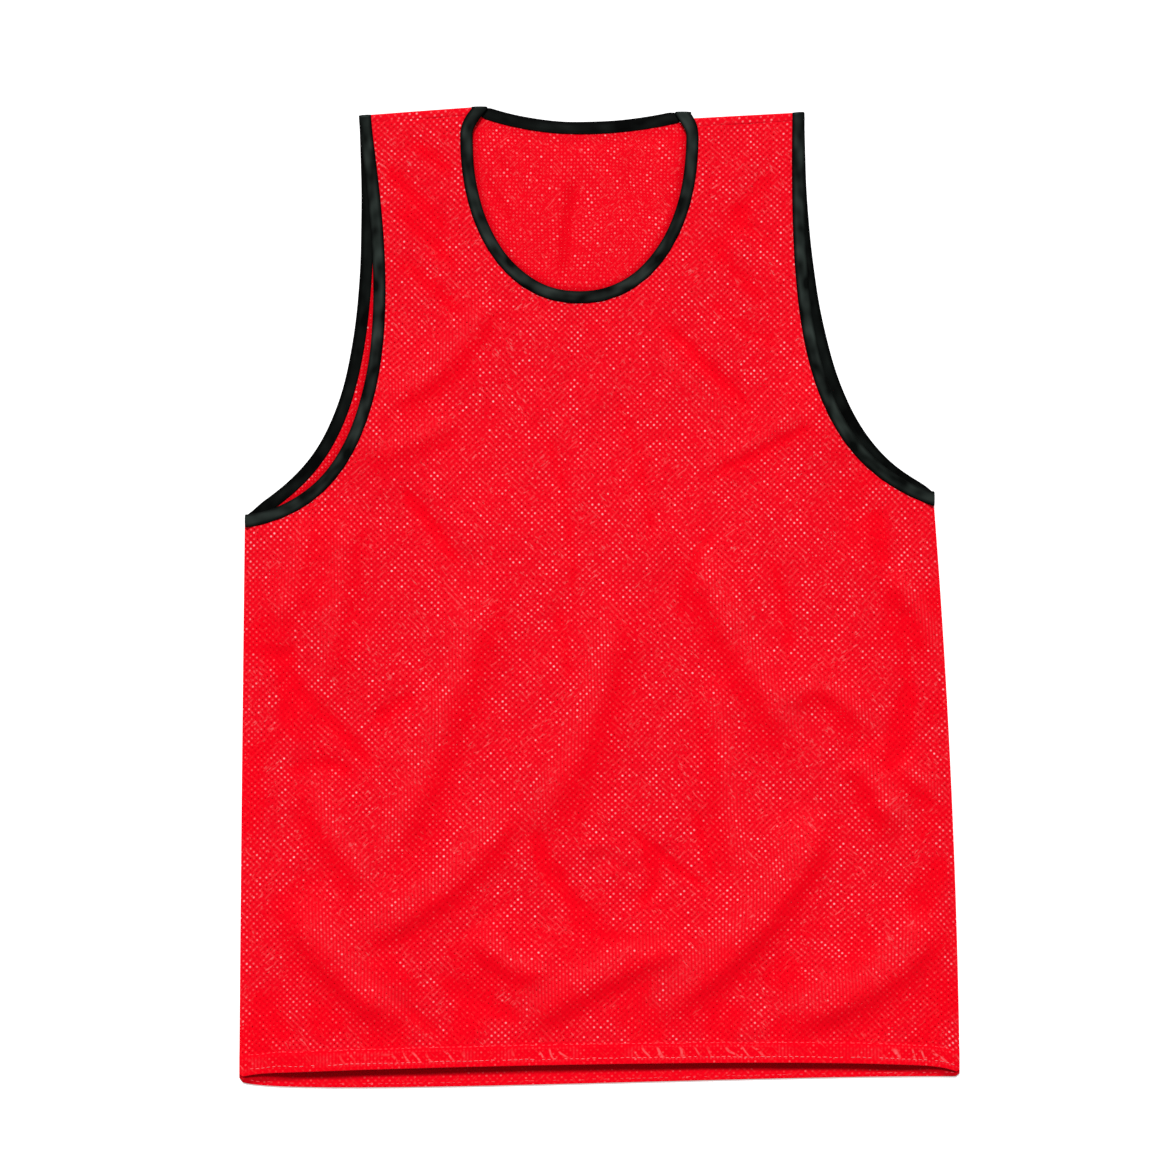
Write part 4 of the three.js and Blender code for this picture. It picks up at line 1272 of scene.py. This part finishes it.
def binding_stations(front, back, spans, outward, turn_in, ends_out, ceiling=None):
    """One closed loop of tape: front layer, one turned end, back layer, other turned end.

    ceiling gives the levels, at each end, that the back layer's folded edge stays under.
    """
    top = CLEAR + CLOTH / 2
    free = free_edge(front, outward, spans[0], spans[1], turn_in[0])
    upper = layer_stations(front, free, seam_levels(front, free, top, top), 1)
    free = free_edge(back, outward, spans[0], spans[1], turn_in[1])
    if ceiling:
        free[:, 1] = np.minimum(free[:, 1], np.linspace(*ceiling, len(free)))
    lower = layer_stations(back, free, np.full(len(back), TAPE_THICK / 2), -1)
    last = turn_stations(tuple(v[-1] for v in upper), ends_out[1])
    first = turn_stations(tuple(v[0] for v in upper), ends_out[0])
    return join(upper, last, turned_round(lower), turned_round(first))


def along(start, end, length):
    way = np.subtract(end, start)
    return way / np.linalg.norm(way) * length


def armhole_stations(side):
    row, shoulder = ARMHOLES[side], SHOULDERS[side]
    outward = row["outward"]
    span = along(shoulder["neck"], shoulder["armhole"], TAPE_WIDTH)
    square = np.array([-span[1], span[0], 0.0]) / TAPE_WIDTH
    if square[1] < 0:
        square = -square
    return binding_stations(
        armhole_seam(side, "front"), armhole_seam(side, "back"),
        (span, (0.0, 2 * row["half"])), outward, (24.0, 24.0),
        (square, (float(outward), 0.0, 0.0)))


def neck_stations():
    spans = ((NECK["fold_span"], 0.0), (-NECK["fold_span"], 0.0))
    up = (0.0, 1.0, 0.0)
    return binding_stations(NECK_FRONT, NECK_BACK, spans, 1,
                            (NECK["turn_in"], NECK["back_turn_in"]), (up, up),
                            [SHOULDERS[side]["tape_top"] - 1.0 for side in ("left", "right")])


def binding(stations, tape, seed):
    """Tape round a loop of stations, slightly puckered along its length."""
    middle, wide, up = stations
    run = run_of(middle)
    length = run[-1] + np.linalg.norm(middle[0] - middle[-1])
    phase = 2 * np.pi * run / length
    rng = np.random.default_rng(seed)
    waves = round(length / (tape.wave / MM))
    ripple = np.zeros(len(run))
    for count, share in ((waves, 1.0), (round(waves * 0.62), 0.7), (round(waves * 1.7), 0.45)):
        ripple += share * np.sin(count * phase + rng.uniform(0, 2 * np.pi))
    slow = sum(np.sin(c * phase + rng.uniform(0, 2 * np.pi)) for c in (5, 9, 14)) / 3
    calm = smooth(0, 1, np.abs(up[:, 2]))
    section = np.array(TAPE_SECTION)
    u = section[:, 0][None, :, None]
    v = section[:, 1][None, :, None]
    pucker = (tape.pucker / MM) * (ripple * calm)[:, None, None] * (0.55 - 0.45 * u)
    half = (TAPE_THICK / 2) * (0.92 + 0.06 * slow)[:, None, None]
    girth = 1 + 0.03 * slow[:, None, None]
    upper = np.where(v > 0, 1.0, 0.35)
    points = (middle[:, None] + wide[:, None] * u * np.where(u < 0, 1.0, girth)
              + up[:, None] * (v * half + pucker * upper))
    points[..., 2] = np.maximum(points[..., 2], 0.04)
    count, around = len(middle), len(section)
    skin = np.concatenate([points, points[:, :1]], 1).reshape(-1, 3)
    skin = np.vstack([skin, skin[: around + 1]])
    girths = run_of(np.vstack([section, section[:1]]) * (TAPE_WIDTH / 2, 1))
    runs = np.concatenate([run, [length]])
    flat = np.stack(np.meshgrid(runs / length, girths / girths[-1], indexing="ij"), -1)
    weave = np.stack(np.meshgrid(runs, girths, indexing="ij"), -1)
    # Painted shade on the tape's inner face, which takes away most of its painted sheen.
    inner = np.append(section[:, 1] < 0, section[0, 1] < 0)
    sheet = Sheet()
    sheet.add(skin, flat.reshape(-1, 2), weave.reshape(-1, 2),
              [grid_faces(count + 1, around + 1)], shade=np.tile(0.8 * inner, count + 1))
    return sheet


def weld(made):
    """Joins the ends of a loop and turns its faces outwards."""
    bm = bmesh.new()
    bm.from_mesh(made.data)
    bmesh.ops.remove_doubles(bm, verts=bm.verts, dist=1e-6)
    bmesh.ops.recalc_face_normals(bm, faces=bm.faces)
    bm.to_mesh(made.data)
    bm.free()
    return made


# ---- Stitching -------------------------------------------------------------------------------


BOOLEAN_VALUE = 3  # which of Random Value's outputs holds a yes or no


def stitch_tree(name, thread):
    """Stitches along a path: short lengths of thread, a little uneven."""
    tree = bpy.data.node_groups.new(name, "GeometryNodeTree")
    face = tree.interface
    face.new_socket("Geometry", in_out="INPUT", socket_type="NodeSocketGeometry")
    for label, kind in (("Period", "Float"), ("Length", "Float"), ("Thread", "Float"),
                        ("Share", "Float"), ("Seed", "Int")):
        face.new_socket(label, in_out="INPUT", socket_type=f"NodeSocket{kind}")
    face.new_socket("Geometry", in_out="OUTPUT", socket_type="NodeSocketGeometry")

    def add(kind, **settings):
        node = tree.nodes.new(kind)
        for key, value in settings.items():
            setattr(node, key, value)
        return node

    given, made = add("NodeGroupInput"), add("NodeGroupOutput")
    path = add("GeometryNodeMeshToCurve")
    spaced = add("GeometryNodeResampleCurve", mode="LENGTH")
    way = add("GeometryNodeInputTangent")
    turned = add("FunctionNodeAlignRotationToVector", axis="X")
    bead = add("GeometryNodeMeshUVSphere")
    bead.inputs["Segments"].default_value = 6
    bead.inputs["Rings"].default_value = 5
    bead.inputs["Radius"].default_value = 0.5
    size = add("ShaderNodeCombineXYZ")
    shaped = add("GeometryNodeTransform")
    placed = add("GeometryNodeInstanceOnPoints")
    uneven = add("FunctionNodeRandomValue", data_type="FLOAT_VECTOR")
    uneven.inputs["Min"].default_value = (0.72, 0.85, 0.85)
    uneven.inputs["Max"].default_value = (1.2, 1.1, 1.1)
    shown = add("FunctionNodeRandomValue", data_type="BOOLEAN")
    whole = add("GeometryNodeRealizeInstances")
    finish = add("GeometryNodeSetMaterial")
    finish.inputs["Material"].default_value = thread
    rounded = add("GeometryNodeSetShadeSmooth")
    for source, output, target, name in (
        (given, "Geometry", path, "Mesh"),
        (path, "Curve", spaced, "Curve"),
        (given, "Period", spaced, "Length"),
        (spaced, "Curve", placed, "Points"),
        (way, "Tangent", turned, "Vector"),
        (turned, "Rotation", placed, "Rotation"),
        (given, "Length", size, "X"),
        (given, "Thread", size, "Y"),
        (given, "Thread", size, "Z"),
        (bead, "Mesh", shaped, "Geometry"),
        (size, "Vector", shaped, "Scale"),
        (shaped, "Geometry", placed, "Instance"),
        (given, "Seed", uneven, "Seed"),
        (uneven, "Value", placed, "Scale"),
        (given, "Share", shown, "Probability"),
        (given, "Seed", shown, "Seed"),
        (shown, BOOLEAN_VALUE, placed, "Selection"),
        (placed, "Instances", whole, "Geometry"),
        (whole, "Geometry", rounded, "Geometry"),
        (rounded, "Geometry", finish, "Geometry"),
        (finish, "Geometry", made, "Geometry"),
    ):
        tree.links.new(source.outputs[output], target.inputs[name])
    return tree


def sew(name, path, settings, thread, share=1.0, stretch=1.0):
    """Stitches along a path of points in millimetres, as one plain mesh.

    share is how many of them lie on top, where they show, and stretch what their length is
    multiplied by.
    """
    points = (np.asarray(path) * MM).tolist()
    edges = [(k, k + 1) for k in range(len(points) - 1)]
    line = bpy.data.meshes.new(f"{name}_path")
    line.from_pydata(points, edges, [])
    holder = bpy.data.objects.new(f"{name}_path", line)
    bpy.context.scene.collection.objects.link(holder)
    tree = stitch_tree(f"{name}_tree", thread)
    modifier = holder.modifiers.new("Stitches", "NODES")
    modifier.node_group = tree
    values = {"Period": settings.period, "Length": settings.length * stretch,
              "Thread": settings.thread, "Share": share, "Seed": settings.seed}
    for item in tree.interface.items_tree:
        if item.in_out == "INPUT" and item.name in values:
            modifier[item.identifier] = values[item.name]
    shown = holder.evaluated_get(bpy.context.evaluated_depsgraph_get())
    mesh = bpy.data.meshes.new_from_object(shown)
    mesh.name = name
    holder.modifiers.remove(modifier)
    bpy.data.objects.remove(holder)
    bpy.data.meshes.remove(line)
    made = bpy.data.objects.new(name, mesh)
    bpy.context.scene.collection.objects.link(made)
    return made


def hem_stitches(layer, settings):
    """Two rows of coverstitch on a hem, along its seam and near its edge."""
    short_of_corners = 6
    x = np.linspace(LEFT_HEM + short_of_corners, RIGHT_HEM - short_of_corners, 260)
    front = layer == "front"
    share, stretch = (0.9 if front else 0.6), 1.45
    finish = {name: material(name, thread_material, name, colour)
              for name, colour in (("thread_red", settings.colour), ("thread_pale", settings.pale))}
    rows = []
    for name, drop in (("upper", 0.5), ("lower", 11.2 if front else 12.9)):
        y = hem_seam(layer, x) - drop + 0.35 * wander(x, 0 * x, 71, 1.0, 9, 24)
        if front:
            z = front_level(x, y) + (0.12 if name == "upper" else 0.72)
        else:
            z = np.full(x.shape, 1.75)
        pale = front and name == "lower"
        thread = finish["thread_pale" if pale else "thread_red"]
        rows.append(sew(f"{layer}_hem_{name}_stitches", np.column_stack([x, y, z]), settings,
                        thread, share, stretch))
    return rows


def binding_stitches(name, seam, outward, settings):
    """Stitches on the cloth along the sewn edge of a tape."""
    line = seam - left_normals(seam) * outward * 0.7
    keep = slice(6, -6)
    x, y = line[keep, 0], line[keep, 1]
    z = underside(x, y) + CLOTH / 2 + 0.2
    return sew(name, np.column_stack([x, y, z]), settings,
               material("thread_pale", thread_material, "thread_pale", settings.pale), 0.4)


# ---- Operators -------------------------------------------------------------------------------


def cloth_finish(scene):
    return material("knitted_mesh", mesh_cloth_material, scene.bib_cloth)


def tape_finish(scene):
    return material("satin_tape", tape_material, scene.bib_tape)


def hand_over(made, node=None):
    """Hangs a finished piece on the root body and hides the imported part that it stands for."""
    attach(made, "root")
    if node:
        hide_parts(node)


class BIB_OT_back_panel(Operator):
    """Makes the back panel, which lies on the surface and wraps over both shoulders"""

    bl_idname = "bib.back_panel"
    bl_label = "Back Panel"

    def execute(self, context):
        scene = context.scene
        made = back_panel(scene.bib_cloth).build("back_cloth", cloth_finish(scene), facing=-1)
        hand_over(made, "back_panel")
        return {"FINISHED"}


class BIB_OT_front_panel(Operator):
    """Makes the front panel with its folds and creases"""

    bl_idname = "bib.front_panel"
    bl_label = "Front Panel"

    def execute(self, context):
        scene = context.scene
        made = front_panel(scene.bib_cloth).build("front_cloth", cloth_finish(scene))
        hand_over(made, "front_panel")
        return {"FINISHED"}


class BIB_OT_hems(Operator):
    """Makes the turned-up hems and their coverstitch rows"""

    bl_idname = "bib.hems"
    bl_label = "Hems"

    def execute(self, context):
        scene = context.scene
        for layer in ("front", "back"):
            facing = 1 if layer == "front" else -1
            made = hem(layer, scene.bib_cloth).build(
                f"{layer}_hem_cloth", cloth_finish(scene), facing)
            hand_over(made, f"{layer}_hem")
            for row in hem_stitches(layer, scene.bib_stitches):
                hand_over(row)
        return {"FINISHED"}


class BIB_OT_bindings(Operator):
    """Makes the binding tape round the neck and both armholes, with its stitches"""

    bl_idname = "bib.bindings"
    bl_label = "Bindings"

    def execute(self, context):
        scene = context.scene
        rows = [
            ("neck_binding", neck_stations(), NECK_FRONT, 1),
            ("left_armhole_binding", armhole_stations("left"), armhole_seam("left", "front"), -1),
            ("right_armhole_binding", armhole_stations("right"), armhole_seam("right", "front"), 1),
        ]
        for number, (node, stations, seam, outward) in enumerate(rows):
            tape = binding(stations, scene.bib_tape, 60 + number)
            made = weld(tape.build(f"{node}_tape", tape_finish(scene)))
            hand_over(made, node)
            row = binding_stitches(f"{node}_stitches", seam, outward, scene.bib_stitches)
            hand_over(row)
        return {"FINISHED"}


class BIB_OT_declare(Operator):
    """A step that does nothing"""

    bl_idname = "bib.declare_sheets"
    bl_label = "State Cloth Sizes"

    def execute(self, context):
        return {"FINISHED"}


KEY_SOFTNESS, KEY_TURNS = 14, (-41, -7, 0)  # degrees
EYE_OVER = (-0.01115, 0.00884)  # the place under the camera, in metres


def floor_material(stage):
    """Pale studio floor."""
    n = Nodes("pale_floor")
    clouds = n.grain(n.add("ShaderNodeTexCoord").outputs["Object"], 9.0, 2.0)
    low = [c * 0.985 for c in stage.floor_colour]
    n.put(n.shader.inputs["Base Color"], n.blend(clouds, rgba(low), rgba(stage.floor_colour)))
    n.shader.inputs["Roughness"].default_value = 0.9
    n.shader.inputs["Specular IOR Level"].default_value = 0.1
    n.shader.inputs["Emission Color"].default_value = (1.0, 1.0, 1.0, 1.0)
    n.shader.inputs["Emission Strength"].default_value = stage.floor_glow
    return n.material


class BIB_OT_stage(Operator):
    """Makes the pale floor, the soft lights and the camera overhead"""

    bl_idname = "bib.stage"
    bl_label = "Stage"

    def execute(self, context):
        scene = context.scene
        stage = scene.bib_stage
        floor = bpy.data.meshes.new("floor")
        reach, level = 4.0, -0.0003
        corners = [(x * reach, y * reach, level) for x, y in ((-1, -1), (1, -1), (1, 1), (-1, 1))]
        floor.from_pydata(corners, [], [(0, 1, 2, 3)])
        floor.materials.append(floor_material(stage))
        ground = bpy.data.objects.new("floor", floor)
        scene.collection.objects.link(ground)

        world = bpy.data.worlds.new("studio")
        world.use_nodes = True
        sky = world.node_tree.nodes["Background"]
        sky.inputs["Color"].default_value = (1.0, 1.0, 1.0, 1.0)
        sky.inputs["Strength"].default_value = stage.fill
        scene.world = world

        key = bpy.data.lights.new("key", "SUN")
        key.energy = stage.key_power
        key.angle = math.radians(KEY_SOFTNESS)
        lamp = bpy.data.objects.new("key", key)
        lamp.rotation_euler = [math.radians(turn) for turn in KEY_TURNS]
        scene.collection.objects.link(lamp)

        camera = bpy.data.cameras.new("camera")
        camera.lens = stage.lens
        camera.sensor_width = 36.0
        camera.clip_start = 0.01
        camera.clip_end = 50.0
        eye = bpy.data.objects.new("camera", camera)
        eye.location = (*EYE_OVER, stage.height)
        scene.collection.objects.link(eye)
        scene.camera = eye
        scene.view_settings.view_transform = "Standard"
        scene.view_settings.look = "None"
        return {"FINISHED"}


class BIB_PT_bib(Panel):
    """Lists the steps that make the bib"""

    bl_label = "Training Bib"
    bl_idname = "BIB_PT_bib"
    bl_space_type = "VIEW_3D"
    bl_region_type = "UI"
    bl_category = "Bib"

    def draw(self, context):
        layout = self.layout
        for group in ("bib_cloth", "bib_tape", "bib_stitches", "bib_stage"):
            rows = getattr(context.scene, group)
            box = layout.box()
            for name in rows.bl_rna.properties.keys():
                if name not in ("rna_type", "name"):
                    box.prop(rows, name)
        for step in STEPS:
            layout.operator(step.bl_idname)


GROUPS = {"bib_cloth": BibCloth, "bib_tape": BibTape, "bib_stitches": BibStitches,
          "bib_stage": BibStage}
STEPS = (BIB_OT_back_panel, BIB_OT_front_panel, BIB_OT_hems, BIB_OT_bindings, BIB_OT_declare,
         BIB_OT_stage)


def register():
    for kind in (*GROUPS.values(), *STEPS, BIB_PT_bib):
        bpy.utils.register_class(kind)
    for name, kind in GROUPS.items():
        setattr(bpy.types.Scene, name, PointerProperty(type=kind))


def unregister():
    for name in GROUPS:
        delattr(bpy.types.Scene, name)
    for kind in (BIB_PT_bib, *reversed(STEPS), *reversed(GROUPS.values())):
        bpy.utils.unregister_class(kind)


def main():
    register()
    for step in STEPS:
        group, name = step.bl_idname.split(".")
        getattr(getattr(bpy.ops, group), name)()
    bpy.context.view_layer.update()


if __name__ == "__main__":
    main()
